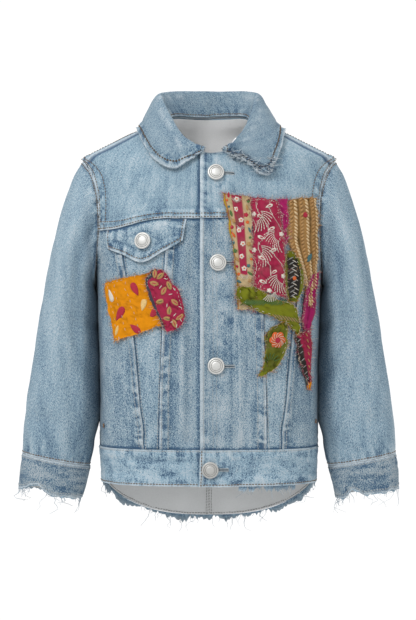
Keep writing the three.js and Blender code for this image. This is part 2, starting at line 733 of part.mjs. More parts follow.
function backPanels() {
  const yokeArm = armholePlace(YOKE_TURN);
  const round = (edge) => (t) => new THREE.Vector2(2 * BACK - edge(t).x, edge(t).y);
  const ridge = along(through([[SIDE, SHOULDER_TIP_Z], [SIDE, -27], [SIDE, -13.6], [SIDE, 0]]));
  const armUpper = armholeEdge(0, YOKE_TURN);
  const seamZ = (girth) =>
    THREE.MathUtils.lerp(yokeArm[1], BACK_YOKE_SEAM_Z, smoothstep(Math.abs(girth - yokeArm[0]), 0, 60));
  const seam = backEdge(BACK, yokeArm[0], seamZ);
  const sideDown = joined(
    [armholeEdge(YOKE_TURN, Math.PI), 3 / 16],
    [along(through([[SIDE, UNDERARM_Z], [SIDE - 3, -250], [SIDE_SEAM_AT_HEM + 1, BAND_SEAM_Z]])), 11 / 16],
    [along(through([[SIDE_SEAM_AT_HEM + 1, BAND_SEAM_Z], [SIDE_SEAM_AT_HEM, FRONT_HEM_Z]])), 2 / 16],
  );
  const half = {
    top: seam,
    bottom: endingAt(backEdge(BACK, SIDE_SEAM_AT_HEM, backHemZ), place([SIDE_SEAM_AT_HEM, FRONT_HEM_Z])),
    left: along(through([[BACK, BACK_YOKE_SEAM_Z], [BACK, -260], [BACK, backHemZ(BACK)]])),
    right: sideDown,
  };
  const otherHalf = Object.fromEntries(Object.entries(half).map(([name, edge]) => [name, round(edge)]));
  return {
    yoke: panelSolid(
      {
        top: joined(
          [ridge, 6 / 22],
          [backEdge(SIDE, 2 * BACK - SIDE, (g) => neckZ(g)), 10 / 22],
          [round(backwards(ridge)), 6 / 22],
        ),
        bottom: joined([backwards(seam), 0.5], [round(seam), 0.5]),
        left: armUpper,
        right: round(armUpper),
      },
      22,
      7,
      {},
    ),
    left: panelSolid(half, 10, 16, {}),
    right: panelSolid(otherHalf, 10, 16, {}),
  };
}

// A point of a sleeve on the +X side. Turn 0 is outermost and a quarter turn is at the back.
function sleevePoint(at, turn, out = 0) {
  const [c, s] = [Math.cos(turn), Math.sin(turn)];
  const k = (Math.abs(c) ** SLEEVE_SQUARE + Math.abs(s) ** SLEEVE_SQUARE) ** (-1 / SLEEVE_SQUARE);
  const oval = (where) => {
    const outer = new THREE.Vector3(sleeve.outX(where), sleeve.y(where), sleeve.outZ(where));
    const inner = new THREE.Vector3(sleeve.inX(where), sleeve.y(where), sleeve.inZ(where));
    const half = outer.clone().sub(inner).multiplyScalar(0.5);
    const middle = outer.add(inner).multiplyScalar(0.5);
    const grown = half.length();
    const depth = new THREE.Vector3(0, sleeve.deep(where) + out, 0);
    half.multiplyScalar((grown + out) / grown);
    return middle.addScaledVector(half, k * c).addScaledVector(depth, k * s);
  };
  const point = oval(at);
  const fade = 1 - smoothstep(at, 0, ARMHOLE_BLEND);
  if (fade > 0) {
    const [girth, z] = armholePlace(turn, SEAM_GAP + 0.2);
    point.addScaledVector(torsoPoint(girth, z, SEAM_GAP).sub(oval(0)), fade);
    point.addScaledVector(inwards(turn), -out * fade);
  }
  return point;
}

// At the armhole the wall's thickness runs towards the middle of the opening.
function inwards(turn) {
  const [girth, z] = armholePlace(turn);
  const middle = new THREE.Vector3(torsoBare(girth, z).x, 0, ARMHOLE_MIDDLE_Z);
  return middle.sub(torsoBare(girth, z)).setX(0).normalize();
}

function creaseRelief(at, turn) {
  return SLEEVE_CREASES.reduce((sum, crease) => {
    const round = Math.abs(((turn - crease.turn + 3 * Math.PI) % (2 * Math.PI)) - Math.PI);
    const share = Math.max(0, 1 - round / crease.reach);
    return sum - crease.depth * share * Math.exp(-(((at - crease.along) / crease.width) ** 2));
  }, 0);
}

function sleeveTube(side, stations, around, thick, proud) {
  const ring = (at, out) =>
    Array.from({ length: around }, (_, i) => {
      const turn = (2 * Math.PI * i) / around;
      const point = sleevePoint(at, turn, out + creaseRelief(at, turn));
      point.x *= side;
      return point;
    });
  return wall(
    stations.map((at) => ring(at, proud)),
    stations.map((at) => ring(at, proud - thick)),
    true,
  );
}

const stretch = (from, to, count) =>
  Array.from({ length: count + 1 }, (_, i) => THREE.MathUtils.lerp(from, to, i / count));

// Moves a point out until it clears the torso, where the torso has cloth.
function clearOfTorso(start, clear) {
  const point = start.clone();
  for (let step = 0; step < 5; step += 1) {
    const girth = Math.atan2(point.x, -point.y) * GIRTH_RADIUS;
    if (point.z > neckZ(girth) + 14) return point;
    const surface = torsoPoint(girth, point.z);
    const normal = torsoPoint(girth, point.z, 1).sub(surface);
    const gap = point.clone().sub(surface).dot(normal);
    if (gap >= clear) return point;
    point.addScaledVector(normal, clear - gap);
  }
  return point;
}

// One section of the collar: up from the neck seam, over the roll line and down to the free edge.
function collarSection(row, side) {
  const girth = (row.turn * Math.PI * GIRTH_RADIUS) / 180;
  const neck = neckZ(girth) + COLLAR_SEAM_GAP;
  const rise = side > 0 ? lapAt(torsoBare(girth, neck).x, LAP_RISE) : 0;
  const seam = torsoPoint(girth, neck, rise - DENIM / 2);
  const roll = new THREE.Vector3(row.rollX, row.rollY, row.rollZ);
  const edgeY = row.edgeY ?? torsoBare(girthAt(row.edgeX, row.edgeZ), row.edgeZ).y;
  const edge = new THREE.Vector3(row.edgeX, edgeY, row.edgeZ);
  const outward = new THREE.Vector3(seam.x, seam.y, 0).normalize();
  const size = Math.min(ROLL_RADIUS, 0.6 + seam.distanceTo(roll) * 0.25);
  const top = roll.clone().addScaledVector(outward, size * 0.6);
  top.z += size * 0.5;
  const over = roll.clone().addScaledVector(outward, size * 1.9);
  over.z -= size * 0.3;
  const fall = [0.25, 0.5, 0.75, 1].map((t) => {
    const point = over.clone().lerp(edge, t);
    return point.addScaledVector(outward, 5 * t * (1 - t) * Math.min(1, seam.distanceTo(roll) / 12));
  });
  const stand = [0.33, 0.66].map((t) => seam.clone().lerp(roll, t));
  const section = [seam, ...stand, roll, top, over, ...fall];
  return section.map((p) => new THREE.Vector3(side * p.x, p.y, p.z));
}

function collarSolid() {
  const half = (table, side) => {
    const rows = table.map((row) => collarSection(row, side));
    const curves = rows[0].map((_, i) => new THREE.CatmullRomCurve3(rows.map((row) => row[i])));
    return stretch(0, 1, COLLAR_GRID).map((t) =>
      curves.map((curve, i) => clearOfLap(curve.getPoint(t), i)),
    );
  };
  const clearOfLap = (point, i) => {
    if (i < COLLAR_STAND_POINTS) return point;
    const rise = point.x > OVERLAP_EDGE_X - 4 ? lapAt(point.x, LAP_RISE) : 0;
    return clearOfTorso(point, COLLAR_CLEAR + DOUBLED_DENIM / 2 + rise);
  };
  const right = half(COLLAR_RIGHT, -1);
  const left = half(COLLAR_LEFT, 1).reverse();
  const sections = [...right, ...left.slice(1)];
  const normalAt = (j, i) => {
    const clampRow = (n) => sections[THREE.MathUtils.clamp(n, 0, sections.length - 1)];
    const clampPoint = (row, n) => row[THREE.MathUtils.clamp(n, 0, row.length - 1)];
    const round = clampPoint(clampRow(j + 1), i).clone().sub(clampPoint(clampRow(j - 1), i));
    const over = clampPoint(sections[j], i + 1).clone().sub(clampPoint(sections[j], i - 1));
    return round.cross(over).normalize();
  };
  const offset = (amount) =>
    sections.map((row, j) => row.map((p, i) => p.clone().addScaledVector(normalAt(j, i), amount)));
  return wall(offset(DOUBLED_DENIM / 2), offset(-DOUBLED_DENIM / 2));
}

function flapSolid() {
  const edge = (points) => along(seenFromFront(points));
  const side = (index) => edge([FLAP.top.at(index), FLAP.bottom.at(index)]);
  const puff = (x, z) => {
    const reach = Math.min(1, Math.hypot((x + 65) / 42, (z + 126) / 24));
    return RAG_CLEAR + DOUBLED_DENIM - 0.6 + 1.2 * (1 - reach * reach);
  };
  return panelSolid(
    { top: edge(FLAP.top), bottom: edge(FLAP.bottom), left: side(0), right: side(-1) },
    12,
    5,
    { thick: DOUBLED_DENIM - 0.6, outAt: puff },
  );
}

function ragSolid({ rows, layer }) {
  const side = (name) => along(seenFromFront(rows.map((row) => row[name])));
  const end = (row) => along(seenFromFront([row.left, row.right]));
  const wide = Math.max(...rows.map((row) => row.right[0] - row.left[0]));
  const tall = rows[0].left[1] - rows.at(-1).left[1];
  const lift = RAG_CLEAR + RAG + RAG_STEP * layer;
  return panelSolid(
    { top: end(rows[0]), bottom: end(rows.at(-1)), left: side("left"), right: side("right") },
    Math.max(2, Math.round(wide / RAG_GRID)),
    Math.max(4, Math.round(tall / RAG_GRID)),
    { thick: RAG, outAt: (x) => lift + (x > OVERLAP_EDGE_X ? lapAt(x, LAP_RISE) : 0) },
  );
}

// A tack button: a neck on the cloth and a domed cap with a raised rim.
function buttonSolid({ x, z, out }) {
  const [r, h, neck] = [BUTTON_RADIUS, BUTTON_HEIGHT, BUTTON_NECK];
  const profile = [
    [0, 0],
    [BUTTON_NECK_RADIUS, 0],
    [BUTTON_NECK_RADIUS, neck],
    [r - 0.6, neck],
    [r, h - 0.4],
    [r - 1.6, h + 0.1],
    [r - 2.2, h - 0.3],
    [0, h + 0.5],
  ].map(([radius, height]) => new THREE.Vector2(radius, height));
  const geometry = new THREE.LatheGeometry(profile, 16);
  const girth = girthAt(x, z);
  const base = torsoPoint(girth, z, out + SEAM_GAP);
  const normal = torsoPoint(girth, z, out + 1).sub(torsoPoint(girth, z, out)).normalize();
  const turn = new THREE.Quaternion().setFromUnitVectors(new THREE.Vector3(0, 1, 0), normal);
  return { geometry, position: base, quaternion: turn };
}

function solidOf(geometry) {
  const bare = geometry.clone();
  bare.deleteAttribute("normal");
  bare.deleteAttribute("uv");
  const merged = mergeVertices(bare, 1e-4);
  return new wasm.Manifold(
    new wasm.Mesh({
      numProp: 3,
      vertProperties: new Float32Array(merged.getAttribute("position").array),
      triVerts: new Uint32Array(merged.index.array),
    }),
  );
}

function geometryOf(solid) {
  const mesh = solid.getMesh();
  const geometry = new THREE.BufferGeometry();
  geometry.setAttribute("position", new THREE.BufferAttribute(mesh.vertProperties, 3));
  return geometry.setIndex(new THREE.BufferAttribute(mesh.triVerts, 1));
}

// A tapering three-sided strand along a bent line of points.
function strand(points, radius) {
  const curve = new THREE.CatmullRomCurve3(points);
  const frames = curve.computeFrenetFrames(3);
  const rings = stretch(0, 1, 3).map((t, i) => {
    const size = radius * (1 - 0.6 * t);
    return [0, 1, 2].map((k) => {
      const turn = (2 * Math.PI * k) / 3;
      return curve
        .getPoint(t)
        .addScaledVector(frames.normals[i], size * Math.cos(turn))
        .addScaledVector(frames.binormals[i], size * Math.sin(turn));
    });
  });
  const positions = rings.flat().flatMap((p) => p.toArray());
  const index = [0, 1, 2, 11, 10, 9];
  for (let row = 0; row < 3; row += 1)
    for (let k = 0; k < 3; k += 1) {
      const [a, b] = [row * 3 + k, row * 3 + ((k + 1) % 3)];
      index.push(a, a + 3, b, b, a + 3, b + 3);
    }
  const geometry = new THREE.BufferGeometry();
  geometry.setAttribute("position", new THREE.Float32BufferAttribute(positions, 3));
  geometry.setIndex(index);
  return facingOut(geometry);
}

// A ragged strip below an edge of cloth, with strands that hang from it. at(t, drop, out) gives the
// point that far along the edge, that far below it and that far out.
function fraySolid({ at, columns: count, deep, strands, reach, seed, closed = false }) {
  const next = random(seed);
  const drops = stretch(0, 1, count).map(() => deep * (0.45 + 0.55 * next()));
  const grid = (out) =>
    [0, 0.5, 1].map((share) =>
      stretch(0, 1, count)
        .slice(0, closed ? count : count + 1)
        .map((t, i) => at(t, SEAM_GAP + share * drops[i], out)),
    );
  let solid = solidOf(wall(grid(0), grid(-1.1), closed));
  for (let i = 0; i < strands; i += 1) {
    const t = (i + 0.15 + 0.7 * next()) / strands;
    const long = reach * (0.25 + 0.75 * next() ** 2);
    const sway = (next() - 0.5) * 0.5 * long;
    const root = at(t, SEAM_GAP + 0.6, -0.5);
    const low = at(t, deep * 0.5 + long, -0.5).clone();
    const bent = root.clone().lerp(low, 0.55);
    low.x += sway;
    low.y -= Math.abs(sway) * 0.3;
    bent.x += sway * (next() - 0.3);
    solid = solid.add(solidOf(strand([root, bent, low], STRAND_RADIUS)));
  }
  return geometryOf(solid);
}

const jacket = new THREE.Group();
function add(name, geometry, color, { roughness = 0.9, metalness = 0, position, quaternion } = {}) {
  const material = new THREE.MeshStandardMaterial({ color, roughness, metalness });
  const mesh = new THREE.Mesh(geometry, material);
  mesh.name = name;
  if (position) mesh.position.copy(position);
  if (quaternion) mesh.quaternion.copy(quaternion);
  jacket.add(mesh);
}

for (const [side, word] of [[-1, "right"], [1, "left"]]) {
  const front = frontPanels(side);
  add(`front_yoke_${word}`, front.yoke, DENIM_COLORS.yoke);
  add(`front_side_${word}`, front.side, DENIM_COLORS.face);
  add(`front_tapered_${word}`, front.tapered, DENIM_COLORS.face);
  add(`front_centre_${word}`, front.centre, DENIM_COLORS.face);
  add(`waistband_${word}`, front.band, DENIM_COLORS.yoke);
  add(`sleeve_${word}`, sleeveTube(side, stretch(0, 1 - CUFF_GAP, 15), SLEEVE_AROUND, DENIM, 0), DENIM_COLORS.face);
  const cuff = sleeveTube(side, stretch(1 + CUFF_GAP, CUFF_END, 3), SLEEVE_AROUND, DOUBLED_DENIM, 0.6);
  add(`cuff_${word}`, cuff, DENIM_COLORS.dark);
  add(
    `cuff_fray_${word}`,
    fraySolid({
      at: (t, drop, out) => {
        const point = sleevePoint(CUFF_END, 2 * Math.PI * t, out - 0.2);
        return new THREE.Vector3(side * point.x, point.y, point.z - drop);
      },
      columns: 20,
      deep: 2.4,
      strands: 11,
      reach: side > 0 ? 22 : 12,
      seed: FRAY_SEED + side,
      closed: true,
    }),
    DENIM_COLORS.edge,
  );
}

const back = backPanels();
add("back_yoke", back.yoke, DENIM_COLORS.yoke);
add("back_left", back.left, DENIM_COLORS.face);
add("back_right", back.right, DENIM_COLORS.face);
add("collar", collarSolid(), DENIM_COLORS.dark);
add("pocket_flap", flapSolid(), DENIM_COLORS.face);
add(
  "back_hem_fray",
  fraySolid({
    at: (t, drop, out) => {
      const girth = THREE.MathUtils.lerp(SIDE_SEAM_AT_HEM + 6, 2 * BACK - SIDE_SEAM_AT_HEM - 6, t);
      return torsoPoint(girth, backHemZ(girth) - drop, out);
    },
    columns: 40,
    deep: 6,
    strands: 30,
    reach: 9,
    seed: FRAY_SEED,
  }),
  DENIM_COLORS.edge,
);
add(
  "waistband_fray",
  fraySolid({
    at: (t, drop, out) => {
      const x = THREE.MathUtils.lerp(30, 88, t);
      return torsoPoint(girthAt(x, FRONT_HEM_Z), FRONT_HEM_Z - drop, out - 0.3);
    },
    columns: 20,
    deep: 4,
    strands: 12,
    reach: 5,
    seed: FRAY_SEED + 3,
  }),
  DENIM_COLORS.edge,
);
for (const rag of RAGS) add(rag.name, ragSolid(rag), rag.color);
for (const button of BUTTONS) {
  const { geometry, position, quaternion } = buttonSolid(button);
  add(button.name, geometry, 0xc9c9c4, { roughness: 0.35, metalness: 0.9, position, quaternion });
}

export default jacket;
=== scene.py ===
import json
import math

import bpy
import numpy as np
from bpy.props import FloatProperty, FloatVectorProperty, IntProperty, PointerProperty
from mathutils import Vector
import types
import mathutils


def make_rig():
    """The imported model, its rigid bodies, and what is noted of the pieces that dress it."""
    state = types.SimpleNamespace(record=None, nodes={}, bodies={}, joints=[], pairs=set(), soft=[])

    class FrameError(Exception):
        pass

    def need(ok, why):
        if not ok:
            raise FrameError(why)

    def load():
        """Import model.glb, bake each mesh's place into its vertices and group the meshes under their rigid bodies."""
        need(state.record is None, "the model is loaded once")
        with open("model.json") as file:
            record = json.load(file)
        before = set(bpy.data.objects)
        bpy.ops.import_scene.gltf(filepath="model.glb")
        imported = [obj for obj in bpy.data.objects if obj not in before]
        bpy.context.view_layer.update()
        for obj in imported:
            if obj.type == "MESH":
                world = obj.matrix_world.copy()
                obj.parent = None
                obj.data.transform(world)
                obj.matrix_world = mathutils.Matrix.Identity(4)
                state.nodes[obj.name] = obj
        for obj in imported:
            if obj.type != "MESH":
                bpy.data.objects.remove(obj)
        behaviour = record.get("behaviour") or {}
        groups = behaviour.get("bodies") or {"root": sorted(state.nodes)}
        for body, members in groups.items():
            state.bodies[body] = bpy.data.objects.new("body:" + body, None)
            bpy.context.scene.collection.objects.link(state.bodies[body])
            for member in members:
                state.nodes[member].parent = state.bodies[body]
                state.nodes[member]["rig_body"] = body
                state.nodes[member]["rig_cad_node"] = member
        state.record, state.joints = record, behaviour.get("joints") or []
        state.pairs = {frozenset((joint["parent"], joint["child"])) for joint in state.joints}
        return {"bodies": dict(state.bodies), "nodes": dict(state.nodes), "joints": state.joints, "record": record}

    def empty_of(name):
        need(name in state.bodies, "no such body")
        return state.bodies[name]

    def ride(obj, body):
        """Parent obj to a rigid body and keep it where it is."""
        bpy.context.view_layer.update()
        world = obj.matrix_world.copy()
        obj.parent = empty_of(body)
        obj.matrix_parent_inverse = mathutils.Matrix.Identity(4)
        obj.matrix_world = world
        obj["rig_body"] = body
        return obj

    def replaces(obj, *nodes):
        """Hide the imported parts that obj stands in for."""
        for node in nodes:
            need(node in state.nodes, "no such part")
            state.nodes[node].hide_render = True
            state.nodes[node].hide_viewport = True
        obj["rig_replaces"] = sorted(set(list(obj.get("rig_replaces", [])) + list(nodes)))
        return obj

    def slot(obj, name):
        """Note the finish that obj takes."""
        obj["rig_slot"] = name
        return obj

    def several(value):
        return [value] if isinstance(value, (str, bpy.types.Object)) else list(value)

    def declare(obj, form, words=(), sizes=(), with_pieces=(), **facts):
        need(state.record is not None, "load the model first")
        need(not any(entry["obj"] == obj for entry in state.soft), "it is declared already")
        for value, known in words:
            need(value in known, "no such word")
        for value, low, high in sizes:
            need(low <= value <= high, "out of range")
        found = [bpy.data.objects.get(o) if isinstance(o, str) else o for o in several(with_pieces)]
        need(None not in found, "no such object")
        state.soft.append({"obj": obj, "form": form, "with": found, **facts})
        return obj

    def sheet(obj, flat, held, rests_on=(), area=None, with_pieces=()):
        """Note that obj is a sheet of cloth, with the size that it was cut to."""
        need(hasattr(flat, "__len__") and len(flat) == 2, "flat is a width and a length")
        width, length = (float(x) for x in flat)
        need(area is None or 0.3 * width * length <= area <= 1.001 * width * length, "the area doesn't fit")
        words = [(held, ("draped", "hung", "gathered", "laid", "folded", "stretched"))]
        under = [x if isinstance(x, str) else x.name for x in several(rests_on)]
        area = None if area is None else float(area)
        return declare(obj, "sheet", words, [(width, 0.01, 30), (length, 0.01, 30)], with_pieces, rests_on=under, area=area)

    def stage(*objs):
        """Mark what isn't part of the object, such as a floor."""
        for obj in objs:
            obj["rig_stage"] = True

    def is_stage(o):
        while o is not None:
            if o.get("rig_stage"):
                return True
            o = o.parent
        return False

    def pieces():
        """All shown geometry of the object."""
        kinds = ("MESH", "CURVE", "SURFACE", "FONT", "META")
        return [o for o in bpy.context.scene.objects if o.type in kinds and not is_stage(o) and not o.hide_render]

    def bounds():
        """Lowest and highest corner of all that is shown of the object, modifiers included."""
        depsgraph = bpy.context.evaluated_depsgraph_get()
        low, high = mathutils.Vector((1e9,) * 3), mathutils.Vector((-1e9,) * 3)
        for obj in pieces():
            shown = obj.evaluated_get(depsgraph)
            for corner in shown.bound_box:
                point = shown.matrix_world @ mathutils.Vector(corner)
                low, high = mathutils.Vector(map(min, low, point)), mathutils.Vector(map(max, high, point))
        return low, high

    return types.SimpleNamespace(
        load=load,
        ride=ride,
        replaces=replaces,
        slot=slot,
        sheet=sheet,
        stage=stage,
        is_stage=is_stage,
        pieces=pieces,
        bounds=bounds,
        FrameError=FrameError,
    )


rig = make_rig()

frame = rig.load()
LOADED_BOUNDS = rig.bounds()

bl_info = {
    "name": "Patched Denim Jacket",
    "version": (1, 0, 0),
    "blender": (4, 2, 0),
    "location": "View3D > Sidebar > Jacket",
    "description": "Builds the cloth, stitching, rags, buttons and frays of a denim jacket",
    "category": "Add Mesh",
}

# Lengths are in millimetres up to the place where a mesh is made.
MM = 0.001
GIRTH_RADIUS = 100
SIDE = math.pi / 2 * GIRTH_RADIUS
BACK = math.pi * GIRTH_RADIUS
SEAM_GAP = 0.3
LAP_RISE = 2.3
LAP_RISE_BAND = 2.9
LAP_FULL_TO_X = 18
LAP_NONE_FROM_X = 34
FRONT_NECK_Z = -39
BACK_NECK_Z = 8
SHOULDER_TIP_Z = -41
UNDERARM_Z = -160
YOKE_SEAM_Z = -105
YOKE_SEAM_DROP = 11
BACK_YOKE_SEAM_Z = -104
BAND_SEAM_Z = -338
FRONT_HEM_Z = -375
BACK_HEM_DROP = 44
SIDE_SEAM_AT_HEM = 149
BAND_CORNER = (SIDE_SEAM_AT_HEM + 1, BAND_SEAM_Z)
HEM_CORNER = (SIDE_SEAM_AT_HEM, FRONT_HEM_Z)
FRONT_MIDDLE_X = 4
OVERLAP_EDGE_X = -9
UNDERLAP_EDGE_X = 14
ARMHOLE_FRONT = 36
ARMHOLE_BACK = 39
ARMHOLE_SQUARE = 2.3
ARMHOLE_MIDDLE_Z = (SHOULDER_TIP_Z + UNDERARM_Z) / 2
ARMHOLE_HALF_HEIGHT = (SHOULDER_TIP_Z - UNDERARM_Z) / 2
YOKE_TURN = 0.535 * math.pi
FRONT_YOKE_TURN = 0.5822 * math.pi
SLEEVE_SQUARE = 2.15
CUFF_END = 1.12
CUFF_GAP = 0.0005
ARMHOLE_BLEND = 0.3
ROLL_RADIUS = 2.6
COLLAR_CLEAR = 1.6
COLLAR_SEAM_GAP = 2
RAG_CLEAR = 0.5
RAG_STEP = 1.5
RAG = 1.0

# Level sections of the torso: z, half width, front depth, back depth, squareness
TORSO = [
    (14, 38, 26, 50, 2.0), (0, 47, 34, 58, 2.05), (-13.6, 81.4, 46, 65, 2.1), (-22, 98.2, 52, 68, 2.15),
    (-30.5, 115, 57, 71, 2.2), (SHOULDER_TIP_Z, 131.8, 62, 74, 2.25), (-60, 131, 69, 79, 2.35),
    (-80, 127.5, 74, 82, 2.45), (-105, 123.2, 79, 84, 2.55), (-135, 119.8, 83, 84, 2.65),
    (UNDERARM_Z, 117.8, 85, 83, 2.75), (-205, 115.8, 87, 81, 2.8), (-271, 113.8, 88, 80, 2.8),
    (BAND_SEAM_Z, 113.4, 87, 79, 2.75), (FRONT_HEM_Z, 111.4, 84, 77, 2.7), (-430, 107, 80, 74, 2.6),
]

# Sleeve sections: place along, outermost x and z, innermost x and z, half depth, place in depth
SLEEVE = [
    (0, 132.4, -41.4, 118.2, -159.2, 44, 1), (0.06, 141.5, -57, 120.8, -160.4, 45.5, 1),
    (0.14, 149.8, -79, 121.4, -164, 46.5, 1), (0.23, 157.6, -105, 121.2, -171, 46.5, 1),
    (0.33, 164.6, -135, 120.8, -183, 45.5, 0), (0.44, 171.2, -169, 120.2, -202, 44, -1),
    (0.57, 178, -208, 119, -231, 42, -2), (0.7, 184.3, -250, 118, -267, 39.5, -4),
    (0.83, 190.6, -292, 117.6, -305, 37, -6), (0.93, 194.2, -324, 119.6, -336, 34, -7),
    (1, 194.8, -346.5, 124.6, -359.5, 31, -8), (1.05, 197, -362, 128.4, -374, 30.5, -8.5),
    (1.12, 198.8, -383, 133.8, -394, 29.5, -9),
]

# Folds of the body: from girth and z, to girth and z, half width, depth (under 0 is a ridge)
TORSO_FOLDS = [
    (-19, -120, -23, -330, 7, 2.2), (46, -235, 40, -330, 9, 1.4), (124, -246, 104, -300, 11, 1.8),
    (-118, -150, -104, -245, 10, 1.8), (-60, -318, -20, -330, 7, 1.2), (60, -318, 110, -322, 7, 1.2),
    (250, -140, 225, -260, 14, 2.6), (378, -140, 403, -260, 14, 2.6), (285, -300, 280, -400, 14, 2.2),
    (345, -290, 352, -400, 14, 2.2), (300, -190, 330, -195, 12, 1.6),
]

# Smaller folds, as above
FINE_FOLDS = [
    (-15, -115, -17, -300, 3.2, 0.8), (-28, -130, -29, -325, 4, -0.9), (-8, -125, -6, -310, 5, -0.7),
    (24, -210, 30, -325, 5, 0.9), (36, -240, 34, -325, 4.5, -0.8), (52, -236, 49, -330, 3.5, 0.6),
    (-40, -150, -44, -320, 5, 0.5), (-72, -215, -70, -320, 6, 0.5), (-100, -200, -92, -330, 7, 0.8),
    (98, -225, 92, -325, 6, 0.8), (-100, -60, -60, -52, 7, 0.8), (-95, -75, -50, -92, 9, 0.7),
    (40, -55, 95, -66, 7, 0.8), (100, -60, 85, -75, 6, -0.6), (-90, -348, -30, -352, 3.5, 0.8),
    (-105, -362, -60, -358, 4.5, 0.6), (50, -352, 110, -356, 3.5, 0.8), (20, -362, 70, -360, 4, 0.5),
    (210, -120, 270, -160, 8, 0.9), (418, -120, 360, -165, 8, 0.9), (230, -330, 280, -345, 9, 1),
    (400, -335, 350, -350, 9, 1),
]

# Creases of both sleeves: place along, turn where deepest, reach round, width along, depth
SLEEVE_CREASES = [
    (0.5, 3.6, 1.1, 0.035, 2.6), (0.58, 2.7, 1.2, 0.03, 2.2), (0.7, 3.9, 1.2, 0.035, 2.2),
    (0.88, 5.2, 1, 0.03, 2.4), (0.92, 1.4, 1.2, 0.03, 2.2), (0.28, 1.2, 0.9, 0.05, 2),
]

# Long soft folds of each sleeve: from along and turn, to along and turn, half width, depth
SLEEVE_FOLDS = {
    -1: [
        (0.1, 4.55, 0.62, 4.2, 0.2, 1.7), (0.06, 5.1, 0.5, 5.2, 0.26, -1.4), (0.3, 3.75, 0.95, 3.9, 0.2, 1.6),
        (0.6, 4.9, 0.93, 4.6, 0.22, -0.9), (0.88, 5.5, 0.97, 4.7, 0.12, 0.9), (0.93, 4.4, 0.98, 3.9, 0.1, 0.8),
        (0.1, 1.6, 0.6, 2, 0.22, 1.6), (0.5, 1.2, 0.9, 1.7, 0.2, 1.3),
    ],
    1: [
        (0.08, 4.6, 0.7, 4.1, 0.2, 1.9), (0.1, 5.2, 0.62, 5, 0.24, -1.5), (0.25, 3.8, 0.95, 3.8, 0.2, 1.6),
        (0.7, 4.7, 0.96, 5.1, 0.18, -0.9), (0.9, 4.1, 0.98, 4.5, 0.1, 0.9), (0.93, 5.3, 0.98, 4.9, 0.1, 0.8),
        (0.15, 1.7, 0.65, 1.9, 0.22, 1.6), (0.55, 1.1, 0.9, 1.8, 0.2, 1.3),
    ],
}

# Front seams below the chest: distance from the front middle, z
FRONT_SEAMS = {
    "outer": [
        (96, -110.5), (91.5, -144), (88.4, -163), (80.2, -223), (75.8, -268), (73.4, -295), (70.6, -315),
        (70, BAND_SEAM_Z),
    ],
    "inner": [(45.8, YOKE_SEAM_Z), (47.8, -138), (50.8, -214.5), (52.8, -268), (53.8, BAND_SEAM_Z)],
}

# Collar sections: turn, roll line x, y, z, free edge x, y, z (None lets it lie on the body)
COLLAR_RIGHT = [
    (5, 5, -63.5, -34, 7, None, -39), (16, 13.7, -60.5, -30.5, 19, None, -46),
    (31, 25, -53, -22, 33, None, -54.6), (47, 33, -44, -11, 46, None, -52), (60, 39, -34, 0, 57.5, None, -43),
    (71, 43, -23, 9, 65.5, None, -31), (82, 47, -11, 18, 71.5, None, -18), (92, 49.5, 1, 25, 74, 2, -10.5),
    (112, 50, 24, 31, 71, 36, -6), (134, 39, 43, 34.5, 56, 60, -6), (157, 21, 53, 36, 30, 74, -6),
    (180, 0, 56, 36.5, 0, 79, -6),
]
COLLAR_LEFT = [
    (13, 15.5, -65, -33.5, 17.5, None, -39.5), (22, 20.5, -61.5, -31, 27, None, -44),
    (33, 26, -54, -26, 38, None, -48), (46, 34, -45, -17, 50, None, -59.5),
    (56, 38.5, -37, -8, 60.5, None, -60), (65, 41.5, -29, 0, 66, None, -50),
    (74, 44.5, -20, 8, 72.5, None, -35), (83, 46.5, -10, 16, 76, None, -20), (92, 48, 1, 23, 76.5, 2, -11.5),
    *COLLAR_RIGHT[8:],
]

